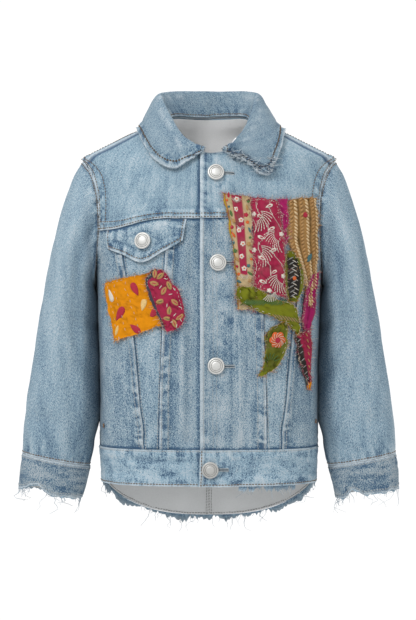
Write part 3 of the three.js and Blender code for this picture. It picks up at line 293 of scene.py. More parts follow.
# Rags: layer, then rows from the top down, each left x, left z, right x, right z
RAGS = {
    "patch_orange": (0, [
        (-106, -170.5, -55, -159.2), (-104, -186, -54, -177), (-100, -202, -51, -194), (-97.5, -217, -49, -206),
        (-94.6, -229.8, -48, -213.3),
    ]),
    "patch_leaf_print": (1, [
        (-57, -157.5, -47, -156.5), (-62.5, -167, -38.5, -166), (-59, -183, -29, -180), (-53, -198.5, -24.3, -199),
        (-47, -210.5, -26.5, -211.5), (-43, -217.5, -35, -218),
    ]),
    "patch_strip": (0, [
        (13.4, -80.6, 42, -83), (17.5, -97, 43, -105), (21, -119, 43.5, -128), (24.5, -145, 43.5, -150),
        (27, -168, 44.5, -174), (28.5, -196, 46, -198),
    ]),
    "patch_block_print": (0, [
        (42, -83, 70, -86), (43, -105, 72, -110), (43.5, -128, 75, -134), (43.5, -150, 76.5, -158),
        (44.5, -174, 77.7, -184),
    ]),
    "patch_pink_slip": (0, [
        (70, -86, 80, -85.5), (72, -110, 79, -110), (75, -133, 78.2, -130),
    ]),
    "patch_braid": (0, [
        (80.8, -85.5, 107.5, -82), (79.8, -110, 110, -101), (79.5, -130, 109.5, -125), (87, -150, 108.5, -150),
        (95, -172, 106.5, -170), (99, -193, 104.5, -193),
    ]),
    "patch_dark_leaf": (1, [
        (79.5, -138, 84, -138.5), (75.5, -150, 91, -152), (75, -165, 93, -166), (76, -180, 91, -180),
        (80, -190, 86, -190),
    ]),
    "patch_green_leaf": (1, [
        (29, -175, 48, -174.5), (27, -184, 63, -184), (36, -193, 84, -192.5), (56, -201, 88, -204),
        (73, -208, 89.5, -214), (82, -216.5, 88.5, -222),
    ]),
    "patch_pink_ribbon": (1, [
        (102.5, -160.5, 109.5, -160), (99, -170, 108, -170), (96.5, -182, 106, -182), (93.5, -196, 104.5, -199),
        (92.5, -218, 98, -219),
    ]),
    "patch_hanging_leaf": (0, [
        (71, -209, 77, -210), (60.5, -218, 78.5, -222), (56.2, -228, 77.5, -234), (56.5, -242, 74, -245),
        (54.5, -255, 65, -258), (50.5, -262.5, 54, -263.5),
    ]),
    "patch_hanging_tail": (0, [
        (85.5, -226, 101, -216), (88, -238, 103, -233), (93, -256, 102.5, -252), (98, -271, 103.5, -266),
        (101, -279, 103, -279.5),
    ]),
}

# The flap: x along its top, which lies on the yoke seam, and the points of its lower edge
FLAP_TOP = (-103.6, -88, -66, -44, -22.6)
FLAP_BOTTOM = [(-101.5, -135), (-86, -141.5), (-66.7, -149.6), (-46, -139), (-26.3, -127.5)]

# Buttons: x, z, how far out the cloth is there
BUTTONS = {
    "front_button_1": (7, -59, LAP_RISE),
    "front_button_2": (9, -150, LAP_RISE),
    "front_button_3": (7, -253.5, LAP_RISE),
    "waist_button": (1.2, -357.5, LAP_RISE_BAND + 0.5),
    "pocket_button": (-65.6, -128, 3.3),
}

# The stage in metres. Lamps: name, place, power in watts, size
FLOOR_Z = -1.25
BACKDROP_RADIUS = 5
LAMPS = [
    ("key", (-1.0, -1.4, 1.25), 25, 0.7),
    ("fill", (1.6, -1.2, 0.1), 3.5, 1.4),
    ("rim", (0.4, 1.4, 1.2), 8, 1.0),
]

# Buttonholes: x, z, how far out the lap is
HOLES = [(23, -59.5, LAP_RISE), (24, -150, LAP_RISE), (23, -254, LAP_RISE), (17, -357.5, LAP_RISE_BAND + 0.5)]

# The finished cloth of each piece, by its node's name
made = {}


def measure(name, words, value, low, high):
    """A length in metres for the sidebar."""
    return FloatProperty(name=name, description=words, default=value, min=low, max=high, unit="LENGTH", precision=5)


class JacketSizes(bpy.types.PropertyGroup):
    grid: measure("Grid", "Spacing of the cloth's grid", 0.00205, 0.0015, 0.006)
    cloth: measure("Cloth", "Thickness of the denim", 0.0016, 0.0008, 0.003)
    pucker: measure("Pucker", "Height of the puckers along a seam", 0.00085, 0, 0.002)
    stitch: measure("Stitch", "Length of one stitch", 0.0024, 0.001, 0.006)
    thread: measure("Thread", "Thickness of the sewing thread", 0.00095, 0.0002, 0.002)
    button: measure("Button", "Radius of a button", 0.0085, 0.005, 0.012)
    frays: IntProperty(
        name="Frays", description="Loose threads for each 100 mm of a frayed edge", default=46, min=0, max=90
    )


def colour(name, words, value):
    return FloatVectorProperty(name=name, description=words, subtype="COLOR", size=3, min=0, max=1, default=value)


class JacketColours(bpy.types.PropertyGroup):
    denim: colour("Denim", "Washed face of the denim", (0.225, 0.328, 0.4))
    # blue is the unfaded denim, and also the dark that painted shadow lines beside the seams, painted crease shade and
    # painted contact shade turn towards
    blue: colour("Blue", "Unfaded denim beside the seams", (0.052, 0.105, 0.18))
    # worn is the white of worn edges, and also the pale that painted highlights on raised folds turn towards
    worn: colour("Worn", "Edges and ridges worn to white", (0.46, 0.52, 0.56))
    # the wrong side of the denim is paler than its face; this colour is raised further as painted light for the insides
    # of the neck and hem
    inside: colour("Inside", "Wrong side of the cloth", (0.66, 0.675, 0.68))
    tan: colour("Tan thread", "Sewing thread that shows", (0.15, 0.105, 0.07))
    pale: colour("Pale thread", "Sewing thread like the cloth", (0.36, 0.4, 0.42))
    metal: colour("Metal", "Buttons", (0.72, 0.72, 0.7))
    orange: colour("Orange rag", "Orange cotton", (0.69, 0.25, 0.005))
    crimson: colour("Crimson rag", "Crimson cotton", (0.33, 0.022, 0.062))
    cream: colour("Cream rag", "Cream cotton", (0.48, 0.36, 0.2))
    pink: colour("Pink rag", "Bright pink cotton", (0.32, 0.014, 0.1))
    ochre: colour("Ochre braid", "Braided ribbon", (0.36, 0.2, 0.07))
    green: colour("Green rag", "Leaf green cotton", (0.16, 0.175, 0.012))
    dark: colour("Dark rag", "Near-black embroidery", (0.025, 0.022, 0.02))


def mm(name):
    """A length of the sidebar in mm."""
    return round(getattr(bpy.context.scene.jacket_sizes, name) / MM, 4)


def paint():
    return bpy.context.scene.jacket_colours


def toned(base, share):
    return [c * share for c in base]


# Numbers


def column(table, name_at):
    rows = sorted(table, key=lambda row: row[0])
    xs = np.array([row[0] for row in rows], float)
    ys = np.array([row[name_at] for row in rows], float)
    slopes = np.diff(ys) / np.diff(xs)
    tangents = np.empty_like(ys)
    tangents[0], tangents[-1] = slopes[0], slopes[-1]
    for i in range(1, len(ys) - 1):
        a, b = slopes[i - 1], slopes[i]
        tangents[i] = 0 if a * b <= 0 else 2 * a * b / (a + b)

    def at(x):
        x = np.clip(x, xs[0], xs[-1])
        i = np.clip(np.searchsorted(xs, x, side="right") - 1, 0, len(xs) - 2)
        span = xs[i + 1] - xs[i]
        t = (x - xs[i]) / span
        return (
            ys[i] * (2 * t**3 - 3 * t**2 + 1)
            + tangents[i] * span * (t**3 - 2 * t**2 + t)
            + ys[i + 1] * (3 * t**2 - 2 * t**3)
            + tangents[i + 1] * span * (t**3 - t**2)
        )

    return at


half_width, front_depth, back_depth, squareness = (column(TORSO, i) for i in range(1, 5))
out_x, out_z, in_x, in_z, arm_depth, arm_y = (column(SLEEVE, i) for i in range(1, 7))


def smoothstep(x, low, high):
    t = np.clip((np.asarray(x, float) - low) / (high - low), 0, 1)
    return t * t * (3 - 2 * t)


def bump(x, middle, width):
    """One at the middle, falling off to nothing within about two widths."""
    return np.exp(-(((x - middle) / width) ** 2))


def lattice(i, j, seed):
    value = np.sin(i * 127.1 + j * 311.7 + seed * 74.7) * 43758.5453
    return value - np.floor(value)


def noise(x, y, seed=0):
    """Smooth random values from -1 to 1, about one swing for each unit of x and y."""
    x, y = np.broadcast_arrays(np.asarray(x, float), np.asarray(y, float))
    i, j = np.floor(x), np.floor(y)
    u, v = x - i, y - j
    u, v = u * u * (3 - 2 * u), v * v * (3 - 2 * v)
    low = lattice(i, j, seed) * (1 - u) + lattice(i + 1, j, seed) * u
    high = lattice(i, j + 1, seed) * (1 - u) + lattice(i + 1, j + 1, seed) * u
    return 2 * (low * (1 - v) + high * v) - 1


def line_distance(x, y, fold):
    ax, ay, bx, by = fold[:4]
    dx, dy = bx - ax, by - ay
    t = np.clip(((x - ax) * dx + (y - ay) * dy) / (dx * dx + dy * dy), 0, 1)
    return np.hypot(x - ax - dx * t, y - ay - dy * t), t


def fold_relief(girth, z, folds):
    total = np.zeros(np.broadcast(girth, z).shape)
    for fold in folds:
        for turn in (0, 2 * BACK):
            near, _ = line_distance(girth + turn, z, fold)
            total -= fold[5] * bump(near, 0, fold[4])
    return total


def around(count):
    return np.linspace(0, 2 * math.pi, count, endpoint=False)


def unit(v):
    return v / np.maximum(np.linalg.norm(v, axis=-1, keepdims=True), 1e-9)


# The torso surface and the sleeves


def rounded_square(a, b, power):
    """How far a unit shape between a circle and a square reaches that way."""
    return (np.abs(a) ** power + np.abs(b) ** power) ** (-1 / power)


def torso_bare(girth, z):
    girth, z = np.broadcast_arrays(np.asarray(girth, float), np.asarray(z, float))
    s, c = np.sin(girth / GIRTH_RADIUS), np.cos(girth / GIRTH_RADIUS)
    depth = np.where(c > 0, front_depth(z), back_depth(z))
    radius = rounded_square(c / depth, s / half_width(z), squareness(z))
    return np.stack([radius * s, -radius * c, z], -1)


def torso_normal(girth, z):
    across = torso_bare(girth + 0.5, z) - torso_bare(girth - 0.5, z)
    down = torso_bare(girth, z - 0.5) - torso_bare(girth, z + 0.5)
    return unit(np.cross(down, across))


def torso_point(girth, z, out=0.0):
    lift = out + fold_relief(girth, z, TORSO_FOLDS)
    return torso_bare(girth, z) + torso_normal(girth, z) * np.asarray(lift)[..., None]


def girth_at(x, z):
    x, z = np.asarray(x, float), np.asarray(z, float)
    share = np.minimum(np.abs(x) / half_width(z), 0.9999)
    power = squareness(z)
    return np.arctan2(x, front_depth(z) * (1 - share**power) ** (1 / power)) * GIRTH_RADIUS


def lap_at(x, rise):
    return rise * (1 - smoothstep(x, LAP_FULL_TO_X, LAP_NONE_FROM_X))


def front_neck_z(girth):
    return FRONT_NECK_Z * np.maximum(np.cos(girth / GIRTH_RADIUS), 0) ** 1.8


def neck_z(girth):
    c = np.cos(girth / GIRTH_RADIUS)
    return np.where(c > 0, front_neck_z(girth), BACK_NECK_Z * (1 - (1 + c) ** 2))


def armhole_place(turn, inset=0.0):
    c, s = np.cos(turn), np.sin(turn)
    k = rounded_square(c, s, ARMHOLE_SQUARE)
    reach = np.where(s > 0, ARMHOLE_BACK, ARMHOLE_FRONT) - inset
    z = ARMHOLE_MIDDLE_Z + (ARMHOLE_HALF_HEIGHT - inset) * k * c
    return np.stack([SIDE + reach * k * s, z], -1)


def sleeve_oval(at, turn, out):
    at, turn, out = np.broadcast_arrays(at, turn, out)
    c, s = np.cos(turn), np.sin(turn)
    k = rounded_square(c, s, SLEEVE_SQUARE)
    outer = np.stack([out_x(at), arm_y(at), out_z(at)], -1)
    inner = np.stack([in_x(at), arm_y(at), in_z(at)], -1)
    half = (outer - inner) / 2
    grown = np.linalg.norm(half, axis=-1)
    point = (outer + inner) / 2 + half * ((grown + out) / grown * k * c)[..., None]
    point[..., 1] += (arm_depth(at) + out) * k * s
    return point


def sleeve_point(at, turn, out):
    at, turn, out = np.broadcast_arrays(at, turn, out)
    point = sleeve_oval(at, turn, out)
    fade = (1 - smoothstep(at, 0, ARMHOLE_BLEND))[..., None]
    hole = armhole_place(turn, SEAM_GAP + 0.2)
    start = torso_point(hole[..., 0], hole[..., 1], SEAM_GAP)
    rim = armhole_place(turn)
    rim_point = torso_bare(rim[..., 0], rim[..., 1])
    inwards = -rim_point.copy()
    inwards[..., 2] += ARMHOLE_MIDDLE_Z
    inwards[..., 0] = 0
    point = point + (start - sleeve_oval(np.zeros_like(at), turn, np.zeros_like(out))) * fade
    return point - unit(inwards) * (out[..., None] * fade)


def crease_relief(at, turn):
    total = np.zeros(np.broadcast(at, turn).shape)
    for along, deepest, reach, width, depth in SLEEVE_CREASES:
        away = np.abs((turn - deepest + 3 * math.pi) % (2 * math.pi) - math.pi)
        share = np.maximum(0, 1 - away / reach)
        total -= depth * share * bump(at, along, width)
    return total


def sleeve_fold_relief(at, turn, side):
    """Long folds. A unit along the sleeve is about ten times a radian round it."""
    total = np.zeros(np.broadcast(at, turn).shape)
    for fold in SLEEVE_FOLDS[side]:
        stretched = (fold[0] * 3, fold[1], fold[2] * 3, fold[3])
        near, t = line_distance(at * 3, turn, stretched)
        total -= fold[5] * bump(near, 0, fold[4]) * (0.35 + 0.65 * np.sin(np.pi * np.clip(t, 0.1, 0.9)))
    return total


# Edges of panels, as places (girth, z), and the order that they are given in
EDGES = ("top", "bottom", "left", "right")


def spline(points):
    points = np.asarray(points, float)

    def at(t):
        p = (len(points) - 1) * np.asarray(t, float)
        i = np.clip(np.floor(p).astype(int), 0, len(points) - 2)
        w = (p - i)[..., None]
        last = len(points) - 1
        p0, p1 = points[np.maximum(i - 1, 0)], points[i]
        p2, p3 = points[i + 1], points[np.minimum(i + 2, last)]
        v0, v1 = (p2 - p0) / 2, (p3 - p1) / 2
        return (2 * p1 - 2 * p2 + v0 + v1) * w**3 + (-3 * p1 + 3 * p2 - 2 * v0 - v1) * w**2 + v0 * w + p1

    return at


def seen_from_front(points):
    points = np.asarray(points, float)
    return spline(np.stack([girth_at(points[:, 0], points[:, 1]), points[:, 1]], -1))


def joined(*parts):
    def at(t):
        t = np.asarray(t, float)
        place = np.zeros((*t.shape, 2))
        start = 0.0
        for number, (edge, share) in enumerate(parts):
            last = number == len(parts) - 1
            mine = (t > start - (number == 0)) & ((t <= start + share) | last)
            local = np.clip((t - start) / share, 0, 1)
            place[mine] = edge(local)[mine]
            start += share
        return place

    return at


def mirrored(edge):
    return lambda t: edge(t) * np.array([-1, 1])


def backwards(edge):
    return lambda t: edge(1 - np.asarray(t, float))


def rounded(edge):
    return lambda t: edge(t) * np.array([-1, 1]) + np.array([2 * BACK, 0])


def ending_at(edge, end):
    miss = np.asarray(end, float) - edge(np.array(1.0))
    return lambda t: edge(t) + miss * (np.asarray(t, float) ** 2)[..., None]


def armhole_edge(start, end):
    return spline(armhole_place(np.linspace(start, end, 13)))


def yoke_seam_z(x):
    return YOKE_SEAM_Z - YOKE_SEAM_DROP * smoothstep(np.abs(np.asarray(x) - FRONT_MIDDLE_X), 50, 112)


def level_edge(from_x, to_x, z_at):
    xs = np.linspace(from_x, to_x, 9)
    return seen_from_front(np.stack([xs, z_at(xs)], -1))


def neck_edge(end_x):
    girth = np.linspace(SIDE, girth_at(end_x, FRONT_NECK_Z), 11)
    return spline(np.stack([girth, front_neck_z(girth)], -1))


RIDGE = spline([(SIDE, SHOULDER_TIP_Z), (SIDE, -27), (SIDE, -13.6), (SIDE, 0)])


def back_hem_z(girth):
    reach = np.abs(torso_bare(girth, -400)[..., 0]) / half_width(-400)
    return FRONT_HEM_Z - 1 - BACK_HEM_DROP * (1 - np.minimum(reach, 1) ** 2.6) ** 0.625


def back_edge(start, end, z_at):
    girth = np.linspace(start, end, 13)
    return spline(np.stack([girth, z_at(girth)], -1))


def coons(edges, u, v):
    top, bottom, left, right = edges
    zero, one = np.array(0.0), np.array(1.0)
    a, b = u[..., None], v[..., None]
    place = top(u) * (1 - b) + bottom(u) * b + left(v) * (1 - a) + right(v) * a
    place = place - top(zero) * (1 - a) * (1 - b) - top(one) * a * (1 - b)
    return place - bottom(zero) * (1 - a) * b - bottom(one) * a * b


def at_height(z):
    return lambda x: np.full_like(x, z)


def front_edges(side):
    """The edges of each front panel of one side, 1 for +X, and the cloth's lift there."""
    left = side > 0
    edge_x = OVERLAP_EDGE_X if left else UNDERLAP_EDGE_X
    flip = (lambda edge: edge) if left else mirrored
    lap = (lambda x: lap_at(x, LAP_RISE)) if left else np.zeros_like
    band_lap = (lambda x: 0.5 + lap_at(x, LAP_RISE_BAND)) if left else at_height(0.5)
    seam_x, foot_x = ({n: FRONT_MIDDLE_X + side * points[k][0] for n, points in FRONT_SEAMS.items()} for k in (0, -1))
    yoke_end = armhole_place(np.array(-FRONT_YOKE_TURN))
    yoke_end_x = side * float(torso_bare(*yoke_end)[0])
    yoke_seam = ending_at(level_edge(edge_x, yoke_end_x, yoke_seam_z), yoke_end * np.array([side, 1]))
    at_band = at_height(BAND_SEAM_Z)

    def seam_share(x):
        return (x - edge_x) / (yoke_end_x - edge_x)

    def stretch_of_seam(x0, x1):
        first, last = seam_share(x0), seam_share(x1)
        return lambda t: yoke_seam(first + (last - first) * np.asarray(t, float))

    def seam(name):
        points = np.array([(FRONT_MIDDLE_X + side * reach, z) for reach, z in FRONT_SEAMS[name]])
        places = np.stack([girth_at(points[:, 0], points[:, 1]), points[:, 1]], -1)
        places[0] = yoke_seam(np.array(seam_share(seam_x[name])))
        return spline(places)

    def to_side(from_x, corner):
        end_x = side * float(torso_bare(*corner)[0])
        return ending_at(level_edge(from_x, end_x, at_height(corner[1])), np.array(corner) * np.array([side, 1]))

    def down_front(*heights):
        return seen_from_front([(edge_x, z) for z in heights])

    inner, outer = seam("inner"), seam("outer")
    side_seam = spline([(SIDE, UNDERARM_Z), (SIDE - 3, -250), BAND_CORNER])
    return {
        "front_yoke": (
            flip(backwards(RIDGE)), yoke_seam,
            joined((flip(neck_edge(side * edge_x)), 0.5), (down_front(FRONT_NECK_Z, -70, YOKE_SEAM_Z), 0.5)),
            flip(armhole_edge(0, -FRONT_YOKE_TURN)), lap,
        ),
        "front_side": (
            stretch_of_seam(seam_x["outer"], yoke_end_x), to_side(foot_x["outer"], BAND_CORNER), outer,
            flip(joined((armhole_edge(-FRONT_YOKE_TURN, -math.pi), 4 / 15), (side_seam, 11 / 15))), np.zeros_like,
        ),
        "front_tapered": (
            stretch_of_seam(seam_x["inner"], seam_x["outer"]), level_edge(foot_x["inner"], foot_x["outer"], at_band),
            inner, outer, np.zeros_like,
        ),
        "front_centre": (
            stretch_of_seam(edge_x, seam_x["inner"]), level_edge(edge_x, foot_x["inner"], at_band),
            down_front(YOKE_SEAM_Z, -220, BAND_SEAM_Z), inner, lap,
        ),
        "waistband": (
            to_side(edge_x, BAND_CORNER), to_side(edge_x, HEM_CORNER),
            seen_from_front([(edge_x, BAND_SEAM_Z), (edge_x - side, FRONT_HEM_Z)]),
            flip(spline([BAND_CORNER, HEM_CORNER])), band_lap,
        ),
    }


def back_edges():
    yoke_arm = armhole_place(np.array(YOKE_TURN))

    def seam_z(girth):
        share = smoothstep(np.abs(girth - yoke_arm[0]), 0, 60)
        return yoke_arm[1] + (BACK_YOKE_SEAM_Z - yoke_arm[1]) * share

    seam = back_edge(BACK, yoke_arm[0], seam_z)
    arm = armhole_edge(0, YOKE_TURN)
    neck = back_edge(SIDE, 2 * BACK - SIDE, neck_z)
    half = (
        seam,
        ending_at(back_edge(BACK, SIDE_SEAM_AT_HEM, back_hem_z), HEM_CORNER),
        spline([(BACK, BACK_YOKE_SEAM_Z), (BACK, -260), (BACK, float(back_hem_z(BACK)))]),
        joined(
            (armhole_edge(YOKE_TURN, math.pi), 3 / 16),
            (spline([(SIDE, UNDERARM_Z), (SIDE - 3, -250), BAND_CORNER]), 11 / 16),
            (spline([BAND_CORNER, HEM_CORNER]), 2 / 16),
        ),
    )
    yoke = (
        joined((RIDGE, 6 / 22), (neck, 10 / 22), (rounded(backwards(RIDGE)), 6 / 22)),
        joined((backwards(seam), 0.5), (rounded(seam), 0.5)),
        arm,
        rounded(arm),
    )
    return {
        "back_yoke": yoke,
        "back_left": half,
        "back_right": [rounded(edge) for edge in half],
    }


class Cloth:
    """A grid of points with its normals and its lengths across and down, all in mm."""

    def __init__(self, points, closed=False):
        self.points, self.closed = points, closed
        self.ring = np.concatenate([points, points[:, :1]], 1) if closed else points
        steps = np.linalg.norm(np.diff(self.ring, axis=1), axis=-1)
        drops = np.linalg.norm(np.diff(points, axis=0), axis=-1)
        zero_col, zero_row = np.zeros((len(points), 1)), np.zeros((1, points.shape[1]))
        self.across = np.concatenate([zero_col, np.cumsum(steps, 1)], 1)
        self.down = np.concatenate([zero_row, np.cumsum(drops, 0)], 0)
        self.normals = self.facing()

    def facing(self):
        p = self.points
        across = np.roll(p, -1, 1) - np.roll(p, 1, 1) if self.closed else np.gradient(p, axis=1)
        return unit(np.cross(np.gradient(p, axis=0), across))

    def area(self):
        p = self.ring
        a, b = p[1:, 1:] - p[:-1, :-1], p[1:, :-1] - p[:-1, 1:]
        return float(np.linalg.norm(np.cross(a, b), axis=-1).sum() / 2)

    def sample(self, u, v):
        """Points and normals at shares u across and v down."""
        rows, cols = self.points.shape[:2]
        x = np.asarray(u) * (cols if self.closed else cols - 1)
        y = np.clip(np.asarray(v), 0, 1) * (rows - 1)
        i, j = np.floor(x).astype(int), np.minimum(np.floor(y).astype(int), rows - 2)
        if self.closed:
            i0, i1 = i % cols, (i + 1) % cols
        else:
            i = np.clip(i, 0, cols - 2)
            i0, i1 = i, i + 1
        a, b = (x - i)[..., None], (y - j)[..., None]

        def mix(grid):
            low, high = (grid[row, i0] * (1 - a) + grid[row, i1] * a for row in (j, j + 1))
            return low * (1 - b) + high * b

        return mix(self.points), unit(mix(self.normals))


def lit_normals(cloth, reference):
    """Turns a grid's normals to the side that the reference normals are on."""
    if float((cloth.normals * reference).sum()) < 0:
        cloth.normals = -cloth.normals
    return cloth


# Meshes


def volume_of(points, quads):
    a, b, c, d = (points[quads[:, k]] for k in range(4))
    first = np.einsum("ij,ij->i", a, np.cross(b, c)).sum()
    return (first + np.einsum("ij,ij->i", a, np.cross(c, d)).sum()) / 6


def shell_mesh(name, face, under, uv, attributes, closed, materials, sharp=50):
    """A closed thin shell from a grid and its underside. Slots: face, underside, rim."""
    rows, cols = face.shape[:2]
    count = rows * cols
    r, c = (grid.ravel() for grid in np.mgrid[: rows - 1, : cols if closed else cols - 1])
    corner_r, corner_c = np.stack([r, r + 1, r + 1, r], -1), np.stack([c, c, c + 1, c + 1], -1)
    index = corner_r * cols + corner_c % cols
    loops_uv = uv[corner_r, corner_c]
    quads, uvs = [index, index[:, ::-1] + count], [loops_uv, loops_uv[:, ::-1]]
    slots = [np.zeros(len(index), int), np.ones(len(index), int)]

    def rim(ring_r, ring_c):
        a, b = ring_r[:-1] * cols + ring_c[:-1] % cols, ring_r[1:] * cols + ring_c[1:] % cols
        quads.append(np.stack([a, b, b + count, a + count], -1))
        left, right = uv[ring_r[:-1], ring_c[:-1]], uv[ring_r[1:], ring_c[1:]]
        uvs.append(np.stack([left, right, right, left], 1))
        slots.append(np.full(len(a), 2))

    span, tall = np.arange(cols + 1 if closed else cols), np.arange(rows)
    rim(np.zeros_like(span), span)
    rim(np.full_like(span, rows - 1), span[::-1])
    if not closed:
        rim(tall[::-1], np.zeros_like(tall))
        rim(tall, np.full_like(tall, cols - 1))
    quads, uvs, slots = np.concatenate(quads), np.concatenate(uvs), np.concatenate(slots)
    points = np.concatenate([face.reshape(-1, 3), under.reshape(-1, 3)])
    if volume_of(points, quads) < 0:
        quads, uvs = quads[:, ::-1], uvs[:, ::-1]
    mesh = smooth_mesh(name, points, quads.tolist(), materials)
    mesh.uv_layers.new(name="UVMap").data.foreach_set("uv", uvs.reshape(-1).astype(np.float32))
    for key, values in attributes.items():
        attribute_data = mesh.attributes.new(key, "FLOAT", "POINT").data
        attribute_data.foreach_set("value", np.tile(values.ravel(), 2).astype(np.float32))
    mesh.polygons.foreach_set("material_index", np.minimum(slots, len(materials) - 1))
    mesh.set_sharp_from_angle(angle=math.radians(sharp))
    return show(name, mesh)


def placed(name, data):
    thing = bpy.data.objects.new(name, data)
    bpy.context.scene.collection.objects.link(thing)
    return thing


def show(name, mesh):
    thing = placed(name, mesh)
    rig.ride(thing, "root")
    return thing


def tube_faces(rings, sides):
    """The faces between rings of points that follow one another."""
    r, k = np.meshgrid(np.arange(rings - 1), np.arange(sides), indexing="ij")
    a, b = (r * sides + k).ravel(), (r * sides + (k + 1) % sides).ravel()
    return np.stack([a, b, b + sides, a + sides], -1).tolist()


def smooth_mesh(name, points, faces, materials):
    """A smooth mesh from points in mm."""
    mesh = bpy.data.meshes.new(name)
    mesh.from_pydata((points * MM).tolist(), [], faces)
    for material in materials:
        mesh.materials.append(material)
    mesh.polygons.foreach_set("use_smooth", np.ones(len(faces), bool))
    return mesh


SLOTS = {part["node"]: part["material_slot"] for part in frame["record"]["subparts"]}


def stand_for(thing, node_name):
    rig.replaces(thing, node_name)
    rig.slot(thing, SLOTS[node_name])


def cut_piece(thing, node_name, wide, tall, area, held="hung"):
    """States the flat size of a cut piece, which is given in mm."""
    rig.sheet(thing, flat=(float(wide) * MM, float(tall) * MM), held=held, area=float(area) * MM * MM)
    stand_for(thing, node_name)


def edge_relief(cloth, strengths, seed):
    """Relief in mm, a wash value from -1 to 1 that also carries painted shadow lines, and wear from 0 to 1 beside each
    edge.

    A strength over 0 is an edge that lies on top, topstitched; one under 0 is tucked beneath.
    """
    relief = np.zeros(cloth.points.shape[:2])
    wash_and_painted_shade, worn = relief.copy(), relief.copy()
    across = cloth.across[:, : cloth.points.shape[1]]
    total_across, total_down = cloth.across[:, -1:], cloth.down[-1:, :]
    places = {
        "left": (across, cloth.down),
        "right": (total_across - across, cloth.down),
        "top": (cloth.down, across),
        "bottom": (total_down - cloth.down, across),
    }
    for number, (name, strength) in enumerate(strengths.items()):
        gap, along = places[name]
        key = seed + number * 7
        lean = along + 0.5 * gap * noise(along / 40, number, seed)
        ripple = np.tanh(2.4 * noise(lean / 2.9, gap / 16, key + 1))
        ripple = 0.75 * ripple + 0.35 * noise(lean / 1.7, gap / 8, key + 2)
        patchy = 0.65 + 0.5 * noise(along / 22, gap / 30, key + 3)
        if strength < 0:
            fade = np.exp(-((gap / 5.5) ** 1.3))
            relief += mm("pucker") * 0.8 * -strength * ripple * fade * patchy
            relief -= 0.35 * bump(gap, 0, 2)
            wash_and_painted_shade += -strength * fade * 0.55 * ripple * patchy
            # painted shadow: a dark line along a tucked edge, under the piece that lies over it
            wash_and_painted_shade -= -strength * 2.2 * bump(gap, 0, 1.9)
            continue
        felled = 1 - smoothstep(gap, 7.5, 11)
        whole = total_down if name in ("left", "right") else total_across
        corner = 0.25 + 0.75 * smoothstep(np.minimum(along, whole - along), 1, 12)
        relief += strength * corner * (0.95 * felled + mm("pucker") * ripple * felled * patchy)
        relief -= strength * 0.3 * np.exp(-((gap - 10.5) ** 2) / 5)
        wash_and_painted_shade += strength * felled * (1.05 * ripple * patchy + 0.04)
        wash_and_painted_shade -= strength * 0.35 * np.exp(-((gap - 4.9) ** 2) / 2.6) * (0.5 + patchy)
        # painted shadow in the dip just beyond the fell
        wash_and_painted_shade -= strength * 0.3 * patchy * np.exp(-((gap - 11.5) ** 2) / 8)
        broken = np.clip(0.72 + 0.75 * noise(along / 6, 3, key + 4), 0, 1)
        worn = np.maximum(worn, min(strength * 1.15, 1.2) * broken * bump(gap, 0, 1.9))
    return np.clip(relief, -1.2, 1.7), wash_and_painted_shade, worn


# How strongly a piece is crinkled, and the pieces with a cord-like turned edge
CRINKLES = {"waistband": 0.5, "flap": 0.6, "centre": 0.3, "side": 0.25, "tapered": 0.25, "back": 0.15}
CORDED = ("front_centre_left", "front_yoke_left", "waistband_left")


def crinkled(x, y, seed):
    """Thin wandering crease lines, 1 on a line and 0 away from it."""
    bend = 0.35 * noise(x * 2.3, y * 2.3, seed + 1)
    return np.exp(-(((noise(x, y, seed) + bend) / 0.13) ** 2)) * np.clip(0.5 + noise(x / 2, y / 2, seed + 2), 0, 1)


def front_edge_relief(name, cloth, x):
    """The corded front edge on the left front with a painted shadow line beside it, and the painted shade it throws on
    the right front.
    """
    none = np.zeros_like(x)
    if name in CORDED:
        gap = cloth.across[:, : x.shape[1]]
        cord = bump(gap, 2.1, 2.0)
        rub = 0.75 + 0.35 * noise(cloth.down / 7, 0, 41)
        # the cord is worn pale; the dark line 5.6 mm in from the edge is painted shadow
        return 1.3 * cord, 1.2 * cord * rub - 0.5 * np.exp(-((gap - 5.6) ** 2) / 1.6), 0.8 * cord * rub
    if name.endswith("_right") and name.startswith(("front", "waist")):
        return none, -1.0 * bump(x, -10.2, 1.8), none
    return none, none, none


